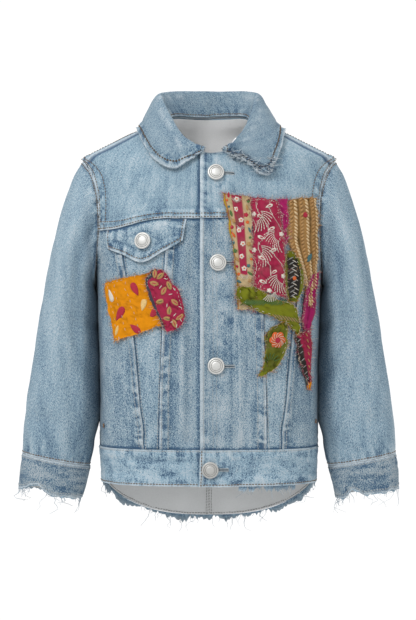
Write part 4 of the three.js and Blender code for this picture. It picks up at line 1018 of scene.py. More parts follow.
def panel(name, edges, lift, thick, strengths, seed, materials, spacing=None):
    """A panel of the body as a shell on the torso surface."""
    spacing = spacing or mm("grid")
    u, v = np.meshgrid(np.linspace(0, 1, 9), np.linspace(0, 1, 9))
    rough = Cloth(torso_bare(*np.moveaxis(coons(edges, u, v), -1, 0)))
    wide, tall = rough.across[:, -1].max(), rough.down[-1].max()
    cols, rows = max(3, int(wide / spacing)) + 1, max(3, int(tall / spacing)) + 1
    inset_u, inset_v = SEAM_GAP / 2 / wide, SEAM_GAP / 2 / tall
    u, v = np.meshgrid(np.linspace(inset_u, 1 - inset_u, cols), np.linspace(inset_v, 1 - inset_v, rows))
    girth, z = np.moveaxis(coons(edges, u, v), -1, 0)
    out = lift(girth, z)
    flat = Cloth(torso_point(girth, z, out))
    fine = fold_relief(girth, z, FINE_FOLDS)
    fine = fine + 0.32 * noise(girth / 17, z / 26, seed) + 0.16 * noise(girth / 7, z / 9, seed + 1)
    relief, wash_and_painted_shade, worn = edge_relief(flat, strengths, seed)
    x = flat.points[..., 0]
    cord, rub, pale = front_edge_relief(name, flat, x)
    relief, wash_and_painted_shade, worn = relief + cord, wash_and_painted_shade + rub, np.maximum(worn, pale)
    normals = torso_normal(girth, z)
    face = flat.points + normals * (relief + fine)[..., None]
    # painted shade on the sides of the body where the sleeves lie against them, from under the arm down to the band
    shade = 0.5 * smoothstep(np.abs(x), half_width(z) - 9, half_width(z)) * smoothstep(-z, 120, 165)
    shade = shade * (1 - smoothstep(-z, 300, 345))
    under = torso_point(girth, z, out - thick)
    # painted highlight and shade: raised folds turn paler and fold troughs darker; the noise is uneven fading
    wash_and_painted_shade = wash_and_painted_shade + 0.22 * fine + 0.2 * noise(girth / 30, z / 48, seed + 5) + 0.2 * noise(girth / 6, z / 16, seed + 6)
    wash_and_painted_shade = wash_and_painted_shade + 0.14 * noise(girth / 2.6, z / 60, seed + 7)
    sizes = (24, 5, 7, 2.6) if name.startswith("waist") else (12, 16, 3, 5)
    creases = crinkled(girth / sizes[0], z / sizes[1], seed + 8)
    mottle = noise(girth / sizes[2], z / sizes[3], seed + 9)
    strong = next((amount for word, amount in CRINKLES.items() if word in name), 0.16)
    strong = strong + 0.42 * bump(x, 12, 14) * (name != "back_yoke")
    # painted shade in the crinkle lines, which are also dented below; the mottle and noise are uneven fading
    wash_and_painted_shade = wash_and_painted_shade + strong * (0.38 - creases * 1.3 + 0.5 * mottle + 0.8 * noise(girth / 8, z / 11, seed + 12))
    if "centre" in name:
        away = np.abs(x - 4)
        streaks = noise(girth / 2.6, z / 130, seed + 13) + 0.6 * noise(girth / 6, z / 90, seed + 14)
        wash_and_painted_shade = wash_and_painted_shade + 0.42 * streaks * smoothstep(away, 10, 22)
    if name.startswith("front_yoke"):
        from_ridge = (z[:1] - z) * 1.45
        # painted shadow below the raised band along the shoulder; the pale line nearer the ridge is wear
        wash_and_painted_shade = wash_and_painted_shade - 2.4 * bump(from_ridge, 7.5, 1.3)
        worn = np.maximum(worn, 0.8 * bump(from_ridge, 5.2, 1.6))
        inward = smoothstep(flat.across[:, -1:] - flat.across[:, : x.shape[1]], 4, 16)
        face = face + normals * (0.8 * inward * (1 - smoothstep(from_ridge, 5, 8)))[..., None]
    face = face - normals * (strong * creases * 0.8)[..., None]
    data = {"wash_and_painted_shade": wash_and_painted_shade, "worn": worn, "shade": shade}
    thing = shell_mesh(f"look_{name}", face, under, np.stack([girth, z], -1) / 10, data, False, materials)
    made[name] = lit_normals(Cloth(face), normals)
    cut_piece(thing, name, rough.across[:, -1].max(), rough.down[-1].max(), flat.area())


# Materials


def nodes_of(name):
    material = bpy.data.materials.get(name) or bpy.data.materials.new(name)
    material.use_nodes = True
    tree = material.node_tree
    tree.nodes.clear()
    output = tree.nodes.new("ShaderNodeOutputMaterial")
    shader = tree.nodes.new("ShaderNodeBsdfPrincipled")
    tree.links.new(shader.outputs[0], output.inputs["Surface"])
    return material, tree, shader


def feed(tree, socket, value):
    if isinstance(value, bpy.types.NodeSocket):
        tree.links.new(value, socket)
    else:
        socket.default_value = value


def node(tree, kind, settings=None, **inputs):
    made_node = tree.nodes.new(kind)
    for key, value in (settings or {}).items():
        setattr(made_node, key, value)
    for key, value in inputs.items():
        feed(tree, made_node.inputs[key], value)
    return made_node


def maths(tree, operation, a, b, clamp):
    made_node = node(tree, "ShaderNodeMath", {"operation": operation, "use_clamp": clamp})
    feed(tree, made_node.inputs[0], a)
    feed(tree, made_node.inputs[1], b)
    return made_node.outputs[0]


def times(tree, a, b, clamp=False):
    return maths(tree, "MULTIPLY", a, b, clamp)


def plus(tree, a, b, clamp=False):
    return maths(tree, "ADD", a, b, clamp)


def minus(tree, a, b, clamp=False):
    return maths(tree, "SUBTRACT", a, b, clamp)


def mixed(tree, share, a, b):
    mix = node(tree, "ShaderNodeMix", {"data_type": "RGBA", "clamp_factor": True})
    for index, value in ((0, share), (6, a), (7, b)):
        feed(tree, mix.inputs[index], value)
    return mix.outputs[2]


def rgba(value, scale=1.0):
    return (*[min(1.0, c * scale) for c in value[:3]], 1.0)


def uv_scaled(tree, x, y, turn=0.0):
    uv = node(tree, "ShaderNodeUVMap", {"uv_map": "UVMap"}).outputs[0]
    mapping = node(tree, "ShaderNodeMapping", None, Vector=uv, Scale=(x, y, 1), Rotation=(0, 0, turn))
    return mapping.outputs[0]


def attribute(tree, name):
    return node(tree, "ShaderNodeAttribute", {"attribute_name": name}).outputs["Fac"]


def speckle(tree, x, y, detail, turn=0.0):
    """Noise on the cloth, with so many swings for each centimetre."""
    place = uv_scaled(tree, x, y, turn)
    return node(tree, "ShaderNodeTexNoise", None, Vector=place, Scale=1.0, Detail=detail).outputs[0]


def grain_of(tree, scale, detail):
    """Noise in the object's own space."""
    place = node(tree, "ShaderNodeTexCoord").outputs["Object"]
    return node(tree, "ShaderNodeTexNoise", None, Vector=place, Scale=scale, Detail=detail).outputs[0]


def coat(tree, shader, base, rough, specular=0.5):
    for name, value in (("Base Color", base), ("Roughness", rough), ("Specular IOR Level", specular)):
        feed(tree, shader.inputs[name], value)


def woven_bump(tree, shader, height, strength, distance):
    raised = node(tree, "ShaderNodeBump", None, Strength=strength, Distance=distance, Height=height)
    tree.links.new(raised.outputs[0], shader.inputs["Normal"])


def denim(name, tone=1.0, blue_shift=0.0, grain=1.0):
    """Washed twill: diagonal ribs, a heather of pale weft, puckered ridges pale from wear, and worn white edges, with
    the painted shade, painted shadow lines and painted highlights that the cloth carries.
    """
    material, tree, shader = nodes_of(name)

    def cloudy(x, y, detail, turn=0.0):
        return minus(tree, speckle(tree, x, y, detail, turn), 0.5)

    heather, speck, streak = cloudy(9, 3.4, 3.0), cloudy(8, 9, 2.0, 0.6), cloudy(4.6, 0.5, 3.0)
    twill = node(
        tree, "ShaderNodeTexWave", {"wave_type": "BANDS", "bands_direction": "X"},
        Vector=uv_scaled(tree, 1, 1, math.radians(-58)), Scale=2.3, Distortion=3.0, Detail=2.0,
    ).outputs[1]
    wash_and_painted_shade, worn, shaded = (attribute(tree, word) for word in ("wash_and_painted_shade", "worn", "shade"))
    level = times(tree, wash_and_painted_shade, 0.95)
    for part, share in (
        (heather, 2.0 * grain), (speck, 3.5 * grain), (streak, 1.1), (cloudy(0.5, 0.26, 3.0), 0.8),
        (minus(tree, twill, 0.5), 0.3 * grain),
    ):
        level = plus(tree, level, times(tree, part, share))
    # the wash value carries uneven fading and also painted shadow lines, painted crease shade and painted highlights on
    # raised folds
    darker, paler = times(tree, level, -1.0, True), times(tree, level, 0.85, True)
    base = rgba(paint().denim, tone)
    faded_with_painted_highlights = mixed(tree, paler, base, rgba(paint().worn, min(tone, 1.05)))
    mottled_with_painted_shade = mixed(tree, plus(tree, darker, blue_shift, True), faded_with_painted_highlights, rgba(paint().blue))
    edge = times(tree, worn, plus(tree, times(tree, speck, 2.0), 0.85), True)
    pale_edge = mixed(tree, edge, mottled_with_painted_shade, rgba(paint().worn, 1.1))
    # painted shade: where the shade attribute is set, the cloth darkens towards deep blue
    final = mixed(tree, shaded, pale_edge, rgba(paint().blue, 0.5))
    coat(tree, shader, final, 0.92, 0.15)
    shader.inputs["Sheen Weight"].default_value = 0.05
    height = plus(tree, times(tree, twill, 0.4), times(tree, speck, 1.6))
    woven_bump(tree, shader, height, 0.55, 0.0007)
    return material


def plain_cloth(name, base, dark, rough=0.9, scale=6.0, amount=0.5):
    """A plain weave with slight unevenness."""
    material, tree, shader = nodes_of(name)
    grain = speckle(tree, scale, scale, 3.0)
    cloud = speckle(tree, 0.5, 0.4, 2.0)
    both = plus(tree, times(tree, grain, 0.6), times(tree, cloud, 0.4))
    share = times(tree, minus(tree, both, 0.42), amount * 4, True)
    coat(tree, shader, mixed(tree, share, rgba(base), rgba(dark)), rough, 0.25)
    woven_bump(tree, shader, grain, 0.3, 0.0005)
    return material


def metal(name, base, rough):
    material, tree, shader = nodes_of(name)
    scratch = grain_of(tree, 900.0, 3.0)
    coat(tree, shader, mixed(tree, times(tree, scratch, 0.5), rgba(base), rgba(base, 0.62)), rough)
    shader.inputs["Metallic"].default_value = 0.75
    tree.links.new(plus(tree, times(tree, scratch, 0.25), rough), shader.inputs["Roughness"])
    woven_bump(tree, shader, scratch, 0.25, 0.0002)
    return material


def thread_material(name, base):
    material, tree, shader = nodes_of(name)
    twist = grain_of(tree, 700.0, 2.0)
    coat(tree, shader, mixed(tree, twist, rgba(base, 0.7), rgba(base, 1.3)), 0.8)
    return material


def cloth_materials(name, tone=1.0, blue_shift=0.0, grain=1.0, inside=1.0):
    p = paint()
    edge = bpy.data.materials.get("denim_cut_edge") or plain_cloth(
        "denim_cut_edge", rgba(p.denim), rgba(p.blue), scale=9.0
    )
    # inside scales the wrong side's colour up: painted light for insides that the lamps barely reach
    inner_name = f"denim_inside_{int(inside * 100)}"
    pale = [min(c * inside, 0.9) for c in p.inside]
    inner = bpy.data.materials.get(inner_name) or plain_cloth(
        inner_name, rgba(pale), rgba(pale, 0.85), rough=0.8, scale=5.0, amount=0.3
    )
    return [denim(name, tone, blue_shift, grain), inner, edge]


# Threads


def lozenges(starts, ends, normals, thick, high=0.5):
    """Stitches as short four-sided bodies from start to end, lying on the cloth."""
    along = unit(ends - starts)
    side = unit(np.cross(along, normals))
    shares = np.array([0, 0.18, 0.82, 1.0])
    sizes_at = np.array([0.45, 1.0, 1.0, 0.45])
    sink = np.array([-0.7, 0.3, 0.3, -0.7]) * thick * high
    rings = []
    for share, size, drop in zip(shares, sizes_at, sink):
        centre = starts + (ends - starts) * share + normals * drop
        for a, b in ((1, 0), (0, 1), (-1, 0), (0, -1)):
            rings.append(centre + (side * a + normals * b * 0.8) * size * thick / 2)
    points = np.stack(rings, 1)
    faces = np.array([*tube_faces(4, 4), (3, 2, 1, 0), (12, 13, 14, 15)])
    index = (np.arange(len(points)) * 16)[:, None, None] + faces[None]
    return points.reshape(-1, 3), index.reshape(-1, 4)


def even_points(points, normals, pitch, start=0.0):
    steps = np.linalg.norm(np.diff(points, axis=0), axis=-1)
    run = np.concatenate([[0], np.cumsum(steps)])
    places = np.arange(start, run[-1], pitch)
    both = np.concatenate([points, normals], 1)
    at = np.stack([np.interp(places, run, both[:, k]) for k in range(6)], -1)
    return at[:, :3], unit(at[:, 3:])


class Thread:
    """Collects stitches that are made as one mesh."""

    def __init__(self, name, material):
        self.name, self.material = name, material
        self.points, self.faces, self.count = [], [], 0

    def put(self, points, faces):
        self.points.append(points)
        self.faces.extend([[corner + self.count for corner in face] for face in faces])
        self.count += len(points)

    def row(self, points, normals, length=None, gap=0.7, thick=None, out=0.15, start=0.0, wander=0.1, seed=3):
        length = length or mm("stitch")
        thick = thick or mm("thread")
        line, facing = even_points(points, normals, length + gap, start)
        if len(line) < 2:
            return
        rng = np.random.default_rng(seed + len(line))
        ahead = unit(np.diff(line, axis=0, append=2 * line[-1:] - line[-2:-1]))
        shift = np.cross(facing, ahead) * rng.normal(0, wander, (len(line), 1))
        first = line + facing * out + shift
        self.put(*lozenges(first, first + ahead * length, facing, thick))

    def finish(self):
        show(self.name, smooth_mesh(self.name, np.concatenate(self.points), self.faces, [self.material]))


def edge_row(cloth, edge, inset, start=0.0, end=1.0, count=160):
    """Points and normals along a line at that distance from an edge of the cloth."""
    t = np.linspace(start, end, count)
    rows, cols = cloth.points.shape[:2]
    if edge in ("top", "bottom"):
        tall = np.interp(t, np.linspace(0, 1, cols), cloth.down[-1])
        share = inset / tall
        return cloth.sample(t, share if edge == "top" else 1 - share)
    wide = np.interp(t, np.linspace(0, 1, rows), cloth.across[:, -1])
    share = inset / wide
    return cloth.sample(share if edge == "left" else 1 - share, t)


def strands(name, roots, directions, lengths, thick, material, seed, curl=0.35, rings=6):
    """Loose threads that start at roots and bend as they hang."""
    rng = np.random.default_rng(seed)
    count = len(roots)
    t = np.linspace(0, 1, rings)[None, :, None]
    wave = rng.normal(0, 1, (count, 1, 3)) * np.sin(t * np.pi * rng.uniform(0.6, 1.7, (count, 1, 1)))
    wave += rng.normal(0, 0.35, (count, 1, 3)) * np.sin(t * np.pi * rng.uniform(2, 4, (count, 1, 1)))
    line = roots[:, None] + directions[:, None] * lengths[:, None, None] * t
    line = line + wave * t * curl * lengths[:, None, None] * np.array([1, 0.45, 0.35])
    ahead = unit(np.gradient(line, axis=1))
    side = unit(np.cross(ahead, np.array([0.2, 1.0, 0.1])))
    lift = np.cross(side, ahead)
    radius = (thick / 2 * (1 - 0.55 * t)) * rng.uniform(0.7, 1.3, (count, 1, 1))
    corners = [line + (side * math.cos(a) + lift * math.sin(a)) * radius for a in (0, 2.094, 4.189)]
    points = np.stack(corners, 2).reshape(count, rings * 3, 3)
    first = (np.arange(count) * rings * 3)[:, None, None]
    caps = np.array([(0, 2, 1), (rings * 3 - 3, rings * 3 - 2, rings * 3 - 1)])
    faces = (first + np.array(tube_faces(rings, 3))).reshape(-1, 4).tolist()
    faces += (first + caps).reshape(-1, 3).tolist()
    return show(name, smooth_mesh(name, points.reshape(-1, 3), faces, [material]))


# Pieces


def lift_of(flat):
    return lambda girth, z: flat(torso_bare(girth, z)[..., 0])


SIDES = ((-1, "right"), (1, "left"))

# Front panels: strength of each edge, then the denim's tone, blue shift, grain and inside, the last making the wrong
# side paler as painted light
FRONT_WEAR = {
    "front_yoke": ({"left": 0.8, "right": 1.1, "top": -0.2, "bottom": 1.35}, (1.06, 0, 0.8, 1.5)),
    "front_side": ({"left": 1.5, "right": 0.6, "top": -0.9, "bottom": -0.8}, (0.95, 0, 1.5)),
    "front_tapered": ({"left": -0.6, "right": -0.6, "top": -0.9, "bottom": -0.8}, (1.02, 0, 1.3)),
    "front_centre": ({"left": 0.7, "right": 1.5, "top": -0.9, "bottom": -0.8}, (0.95, 0.05, 1.5)),
    "waistband": ({"left": 0.7, "right": 0.4, "top": 0.75, "bottom": 0.9}, (1.27, 0, 1.2)),
}


def build_fronts():
    for side, word in SIDES:
        for number, (name, (*edges, flat)) in enumerate(front_edges(side).items()):
            wear, look = FRONT_WEAR[name]
            thick = 2.2 if name == "waistband" else mm("cloth")
            short = name.split("_")[-1].replace("waist", "")
            materials = cloth_materials(f"denim_{short}_look", *look)
            panel(f"{name}_{word}", edges, lift_of(flat), thick, wear, 11 * number + side, materials)


def build_back():
    wear = {
        "back_yoke": {"top": 0.7, "bottom": 1.0, "left": 0.9, "right": 0.9},
        "back_left": {"top": -0.8, "bottom": 0.8, "left": 0.8, "right": 0.6},
        "back_right": {"top": -0.8, "bottom": 0.8, "left": -0.6, "right": 0.6},
    }
    # the back yoke's wrong side, seen through the neck, is made paler as painted light
    yoke_look = cloth_materials("denim_back_yoke_look", 1.04, 0, 0.9, 1.5)
    back_look = cloth_materials("denim_back_look", 0.97, 0, 1.2)
    for number, (name, edges) in enumerate(back_edges().items()):
        look = yoke_look if name == "back_yoke" else back_look
        panel(name, edges, lift_of(np.zeros_like), mm("cloth"), wear[name], 60 + number, look, 2.8)


def tube(name, side, start, end_at, thick, proud, seed, materials, rough):
    """A sleeve or cuff. The seam is underneath, where the body hides it."""
    spacing = mm("grid")
    length = float(np.linalg.norm(sleeve_oval(start, 0.0, 0.0) - sleeve_oval(end_at(0.0), 0.0, 0.0)))
    cols = int(2 * math.pi * 42 / spacing)
    rows = max(8, int(length / spacing)) + 1
    turn = (math.pi + 2 * math.pi * np.arange(cols) / cols)[None, :] % (2 * math.pi)
    share = np.linspace(0, 1, rows)[:, None]
    at = start + (end_at(turn) - start) * share
    turn = np.broadcast_to(turn, at.shape)
    crease = crease_relief(at, turn)
    flip = np.array([side, 1, 1])
    plain = Cloth(sleeve_point(at, turn, proud + crease) * flip, True)
    run = plain.down
    girdle = plain.across[:, :cols]
    fine = sleeve_fold_relief(at, turn, side)
    wave_u, wave_v = np.cos(turn) * 2.4, np.sin(turn) * 2.4
    broad = 0.5 * noise(wave_u + run / 60, wave_v + run / 24, seed)
    small = 0.32 * noise(wave_u * 2.2, wave_v * 2 + run / 13, seed + 1)
    fine = (fine + rough * (broad + small)) * smoothstep(at, start, start + 0.03)
    ripple = noise(girdle / 3.6, run / 15, seed + 2)
    gap_end = run[-1:, :] - run
    gathered = 14 if "sleeve" in name else 9
    near_start, near_end = np.exp(-((run / 9) ** 1.4)), np.exp(-((gap_end / gathered) ** 1.4))
    relief = mm("pucker") * ripple * (near_start + near_end) - 0.5 * bump(run, 0, 2.2)
    inner_z = in_z(at)
    near_body = np.exp(-(((turn - math.pi) / 1.0) ** 4)) * (1 - smoothstep(-inner_z, 295, 335))
    press = np.clip(in_x(at) - half_width(inner_z) + 2.4, 0, 14) * near_body * smoothstep(at, 0.0, 0.03)
    press = press + 3.0 * bump(inner_z, -174, 20) * near_body
    relief = relief + press
    face = sleeve_point(at, turn, proud + crease + fine + relief) * flip
    under = sleeve_point(at, turn, proud - thick + crease + 0.8 * fine) * flip
    # the fold term is painted highlight and shade, paler on raised folds and darker in troughs; the puckers at the ends
    # and the noise are fading
    wash_and_painted_shade = ripple * (0.75 * near_start + 1.15 * near_end) + 0.2 * fine + 0.2 * noise(wave_u * 1.6, run / 40, seed + 3)
    worn = 1.1 * np.maximum(bump(run, 0, 2.0), bump(gap_end, 0, 1.8))
    # painted shadow line beside the seam at the top of the tube
    wash_and_painted_shade = wash_and_painted_shade - 0.9 * bump(run, 3.6, 1.8) * (0.6 + 0.5 * noise(girdle / 9, 1, seed + 4))
    strong = 1.2 if "cuff" in name else 0.1
    creases = crinkled(girdle / 30 + run / 40, run / 5.0, seed + 8)
    # painted shade in the crinkle lines, which are also dented below; the noise is uneven fading
    wash_and_painted_shade = wash_and_painted_shade - strong * creases + strong * (0.1 + 0.75 * noise(girdle / 14, run / 3.2, seed + 9))
    face = face - unit(face - under) * (strong * creases * 1.1)[..., None]
    x = np.abs(face[..., 0])
    upper = 1 - smoothstep(-face[..., 2], 290, 350)
    # painted shade on the inner side of the sleeve where it lies against the body
    shade = 0.66 * (1 - smoothstep(x, 117, 134)) * upper * smoothstep(at, 0.02, 0.14)
    size = plain.across[:, -1].max() / 10
    uv_u = np.linspace(0, size, cols + 1)[None, :].repeat(rows, 0)
    uv_v = -np.concatenate([run, run[:, :1]], 1) / 10
    data = {"wash_and_painted_shade": wash_and_painted_shade, "worn": worn, "shade": shade}
    thing = shell_mesh(f"look_{name}", face, under, np.stack([uv_u, uv_v], -1), data, True, materials)
    made[name] = lit_normals(Cloth(face, True), face - under)
    cut_piece(thing, name, plain.across[:, -1].max(), run[-1].max(), plain.area())


def ragged_end(side):
    """How far each cuff reaches, with one torn notch in its front."""

    def at(turn):
        turn = np.asarray(turn, float)
        uneven = 0.003 * noise(turn * 5, 3.0, 40 + side) + 0.0015 * noise(turn * 17, 1.0, 50 + side)
        place, width = (5.15, 0.32) if side < 0 else (4.2, 0.22)
        notch = 0.03 * bump(turn, place, width)
        return CUFF_END - 0.003 + uneven - notch

    return at


def build_sleeves():
    for side, word in SIDES:
        # painted light: the +X sleeve, away from the key lamp, is made paler than the other to make up for the light it
        # lacks
        sleeve_look = cloth_materials(f"denim_sleeve_{word}_look", 1.1 if side < 0 else 1.16, 0, 1.3)
        cuff_look = cloth_materials(f"denim_cuff_{word}_look", 0.8, 0.05, 2.1)
        tube(f"sleeve_{word}", side, 0.0, at_height(1 - CUFF_GAP), 1.6, 0, 70 + side, sleeve_look, 1.0)
        tube(f"cuff_{word}", side, 1 + CUFF_GAP, ragged_end(side), 2.2, 0.6, 80 + side, cuff_look, 1.6)


def collar_section(row, side):
    turn, roll_x, roll_y, roll_z, edge_x, edge_y, edge_z = row
    girth = math.radians(turn) * GIRTH_RADIUS
    seam_z = float(neck_z(girth)) + COLLAR_SEAM_GAP
    rise = float(lap_at(torso_bare(girth, seam_z)[0], LAP_RISE)) if side > 0 else 0.0
    seam = torso_point(girth, seam_z, rise - 0.8)
    roll = np.array([roll_x, roll_y, roll_z], float)
    if edge_y is None:
        edge_y = float(torso_bare(girth_at(edge_x, edge_z), edge_z)[1])
    edge = np.array([edge_x, edge_y, edge_z], float)
    outward = unit(seam * np.array([1, 1, 0]))
    far = float(np.linalg.norm(seam - roll))
    size = min(ROLL_RADIUS, 0.6 + far * 0.25)
    top = roll + outward * size * 0.6 + np.array([0, 0, size * 0.5])
    over = roll + outward * size * 1.9 - np.array([0, 0, size * 0.3])
    swell = 5 * min(1, far / 12)
    fall = [over + (edge - over) * t + outward * swell * t * (1 - t) for t in (0.25, 0.5, 0.75, 1)]
    stand = [seam + (roll - seam) * t for t in (0.33, 0.66)]
    return np.array([seam, *stand, roll, top, over, *fall]) * np.array([side, 1, 1])


def chordal(points, t):
    """Centripetal Catmull-Rom curve through the points, at each share t."""
    count = len(points)
    ahead = np.concatenate([[2 * points[0] - points[1]], points, [2 * points[-1] - points[-2]]])
    spans = np.maximum(np.linalg.norm(np.diff(ahead, axis=0), axis=-1) ** 0.5, 1e-4)
    p = np.asarray(t) * (count - 1)
    i = np.minimum(np.floor(p).astype(int), count - 2)
    w = (p - i)[:, None]
    p0, p1, p2, p3 = (ahead[i + k] for k in range(4))
    d0, d1, d2 = (spans[i + k][:, None] for k in range(3))
    v1 = ((p1 - p0) / d0 - (p2 - p0) / (d0 + d1) + (p2 - p1) / d1) * d1
    v2 = ((p2 - p1) / d1 - (p3 - p1) / (d1 + d2) + (p3 - p2) / d2) * d1
    return p1 + v1 * w + (-3 * p1 + 3 * p2 - 2 * v1 - v2) * w**2 + (2 * p1 - 2 * p2 + v1 + v2) * w**3


def clear_of_torso(points, clear):
    for _ in range(5):
        girth = np.arctan2(points[..., 0], -points[..., 1]) * GIRTH_RADIUS
        surface = torso_point(girth, points[..., 2])
        normal = torso_normal(girth, points[..., 2])
        gap = ((points - surface) * normal).sum(-1)
        near = (points[..., 2] <= neck_z(girth) + 14) & (gap < clear)
        points = points + normal * np.where(near, clear - gap, 0)[..., None]
    return points


def build_collar():
    def half(table, side):
        rows = np.array([collar_section(row, side) for row in table])
        shares = np.linspace(0, 1, 140)
        return np.stack([chordal(rows[:, i], shares) for i in range(rows.shape[1])], 1)

    right, left = half(COLLAR_RIGHT, -1), half(COLLAR_LEFT, 1)[::-1]
    rows = np.concatenate([right, left[1:]])
    section = np.linspace(0, 1, 42)
    fine = np.stack([chordal(row, section) for row in rows])
    rise = np.where(fine[..., 0] > OVERLAP_EDGE_X - 4, lap_at(fine[..., 0], LAP_RISE), 0)
    cleared = clear_of_torso(fine, COLLAR_CLEAR + 1.1 + rise)
    fine[:, 14:] = cleared[:, 14:]
    middle = Cloth(fine)
    edge_gap = middle.across[:, -1:] - middle.across
    relief, wash_and_painted_shade, worn = edge_relief(middle, {"left": 0.6, "right": 1.5, "top": 1.1, "bottom": 1.2}, 90)
    soft = 0.5 * noise(middle.down / 26, middle.across / 14, 91) + 0.25 * noise(middle.down / 9, middle.across / 8, 92)
    soft = soft * smoothstep(middle.across, 10, 22)
    edge_lift = 0.5 * noise(middle.down / 13, 0.0, 93) * bump(edge_gap, 0, 6)
    pull = noise(middle.down / 2.6, edge_gap / 14, 97) * bump(edge_gap, 8, 5)
    wash_and_painted_shade = wash_and_painted_shade + 1.7 * pull * np.clip(0.55 + noise(middle.down / 20, 0, 98), 0, 1)
    up = (1.1 + relief * 0.9 + soft + edge_lift + 0.55 * pull)[..., None]
    face = fine + middle.normals * up
    under = fine - middle.normals * (1.1 - soft - edge_lift)[..., None]
    # painted highlight and shade: raised parts of the soft relief turn paler and hollows darker; the noise is uneven
    # fading
    wash_and_painted_shade = wash_and_painted_shade + 0.2 * soft + 0.16 * noise(middle.down / 30, middle.across / 16, 94)
    # painted shade on the stand, darker towards the neck seam where the fall covers it
    wash_and_painted_shade = wash_and_painted_shade - 0.5 * bump(middle.across, 0, 16) * (0.7 + noise(middle.down / 3.2, 0.0, 95))
    worn = np.maximum(worn, 0.45 * bump(middle.across, 24, 3.5) * (noise(middle.down / 8, 0, 96) > 0.1))
    uv = np.stack([middle.down / 10, middle.across / 10], -1)
    # the collar's underside is made paler as painted light
    look = cloth_materials("denim_collar_look", 0.95, 0.04, 1.2, 1.5)
    thing = shell_mesh("look_collar", face, under, uv, {"wash_and_painted_shade": wash_and_painted_shade, "worn": worn}, False, look)
    made["collar"] = Cloth(face)
    cut_piece(thing, "collar", middle.down[-1].max(), middle.across[:, -1].max(), middle.area(), "folded")


def flap_puff(girth, z):
    x = torso_bare(girth, z)[..., 0]
    reach = np.minimum(1, np.hypot((x + 65) / 42, (z + 126) / 24))
    below = yoke_seam_z(x) - z
    return 0.8 + (RAG_CLEAR + 0.8 + 1.2 * (1 - reach**2)) * smoothstep(below, 0, 9)


def build_flap():
    tops = [(x, float(yoke_seam_z(x)) - 0.5) for x in FLAP_TOP]
    ends = ([tops[k], FLAP_BOTTOM[k]] for k in (0, -1))
    edges = [seen_from_front(points) for points in (tops, FLAP_BOTTOM, *ends)]
    wear = {"top": -0.9, "bottom": 1.4, "left": 1.3, "right": 1.2}
    panel("pocket_flap", edges, flap_puff, 1.6, wear, 101, cloth_materials("denim_flap_look", 1.02, 0, 1.2), 1.4)


# Rags


def rag_material(name, tones, fade):
    """Cotton whose colour is one of three, by the tone stored on the cloth: 0, a half or 1."""
    material, tree, shader = nodes_of(name)
    grain = speckle(tree, 16.0, 16.0, 2.0)
    cloud = speckle(tree, 1.1, 0.8, 3.0)
    tone, worn, deep = (attribute(tree, word) for word in ("tone", "worn", "shade"))
    low = times(tree, tone, 2.0, True)
    high = minus(tree, times(tree, tone, 2.0), 1.0, True)
    base = mixed(tree, high, mixed(tree, low, rgba(tones[0]), rgba(tones[1])), rgba(tones[-1]))
    shade = mixed(tree, times(tree, minus(tree, grain, 0.4), 1.6, True), base, rgba((0, 0, 0)))
    shade = mixed(tree, 0.7, shade, base)
    # painted shade from the shade attribute, towards a dark copy of the rag's first colour
    shade = mixed(tree, times(tree, deep, 0.75, True), shade, rgba(tones[0], 0.22))
    pale = plus(tree, times(tree, minus(tree, cloud, 0.5), 1.4, True), times(tree, worn, 0.45))
    final = mixed(tree, times(tree, pale, fade * 2.2, True), shade, rgba((0.5, 0.42, 0.33)))
    coat(tree, shader, final, 0.85, 0.08)
    woven_bump(tree, shader, grain, 0.5, 0.0005)
    return material


def rag_tones():
    p = paint()
    white = (0.66, 0.6, 0.52)
    return {
        "patch_orange": [p.orange, toned(p.orange, 0.93), p.orange],
        "patch_leaf_print": [p.crimson, toned(p.crimson, 1.25), (0.05, 0.055, 0.075)],
        "patch_strip": [p.cream, p.crimson, (0.42, 0.27, 0.02)],
        "patch_block_print": [p.crimson, toned(p.crimson, 0.8), white],
        "patch_pink_slip": [p.pink, toned(p.pink, 1.2), p.pink],
        "patch_braid": [p.ochre, toned(p.ochre, 0.8), p.ochre],
        "patch_dark_leaf": [p.dark, toned(p.green, 0.8), p.green],
        "patch_green_leaf": [p.green, toned(p.green, 1.15), p.green],
        "patch_pink_ribbon": [p.pink, toned(p.pink, 0.7), p.pink],
        "patch_hanging_leaf": [toned(p.green, 0.8), (0.09, 0.1, 0.02), p.green],
        "patch_hanging_tail": [p.dark, p.crimson, p.orange],
    }


def rag_tone(name, u, v):
    """Which of a rag's three colours shows, as 0, a half or 1, at shares u across and v down."""
    wobble = 0.05 * noise(u * 6, v * 9, 7)
    rim = np.minimum(np.minimum(u, 1 - u), np.minimum(v, 1 - v))
    patterns = {
        "patch_leaf_print": np.where((u < 0.12) | (v + 0.5 * u + wobble < 0.34), 1, 0),
        "patch_strip": np.where(u + wobble < 0.15, 1, np.where((u > 0.34) & (u < 0.66) & (v < 0.72), 0.5, 0)),
        "patch_dark_leaf": np.where(rim + wobble < 0.16, 0.5, 0),
        "patch_hanging_leaf": np.where(rim + wobble < 0.14, 1, 0.25),
        "patch_hanging_tail": np.where(v + wobble > 0.8, 1, np.where(u * 1.2 - v * 0.5 + wobble > 0.3, 0.5, 0)),
        "patch_block_print": np.where(np.abs(np.sin(u * 8 + np.sin(v * 14) * 1.3)) < 0.16, 1, 0),
        "patch_pink_ribbon": np.where(np.abs(u - 0.5) < 0.12, 0.5, 0),
        "patch_braid": np.where(np.sin(u * 6 * math.pi) > 0.75, 0.5, 0),
    }
    return patterns.get(name, 0.25 + 0.25 * noise(u * 5, v * 6, 9)).astype(float)


def rag_lift(layer, girth, z):
    x = torso_bare(girth, z)[..., 0]
    base = RAG_CLEAR + RAG + RAG_STEP * layer
    return base + np.where(x > OVERLAP_EDGE_X, lap_at(x, LAP_RISE), 0)


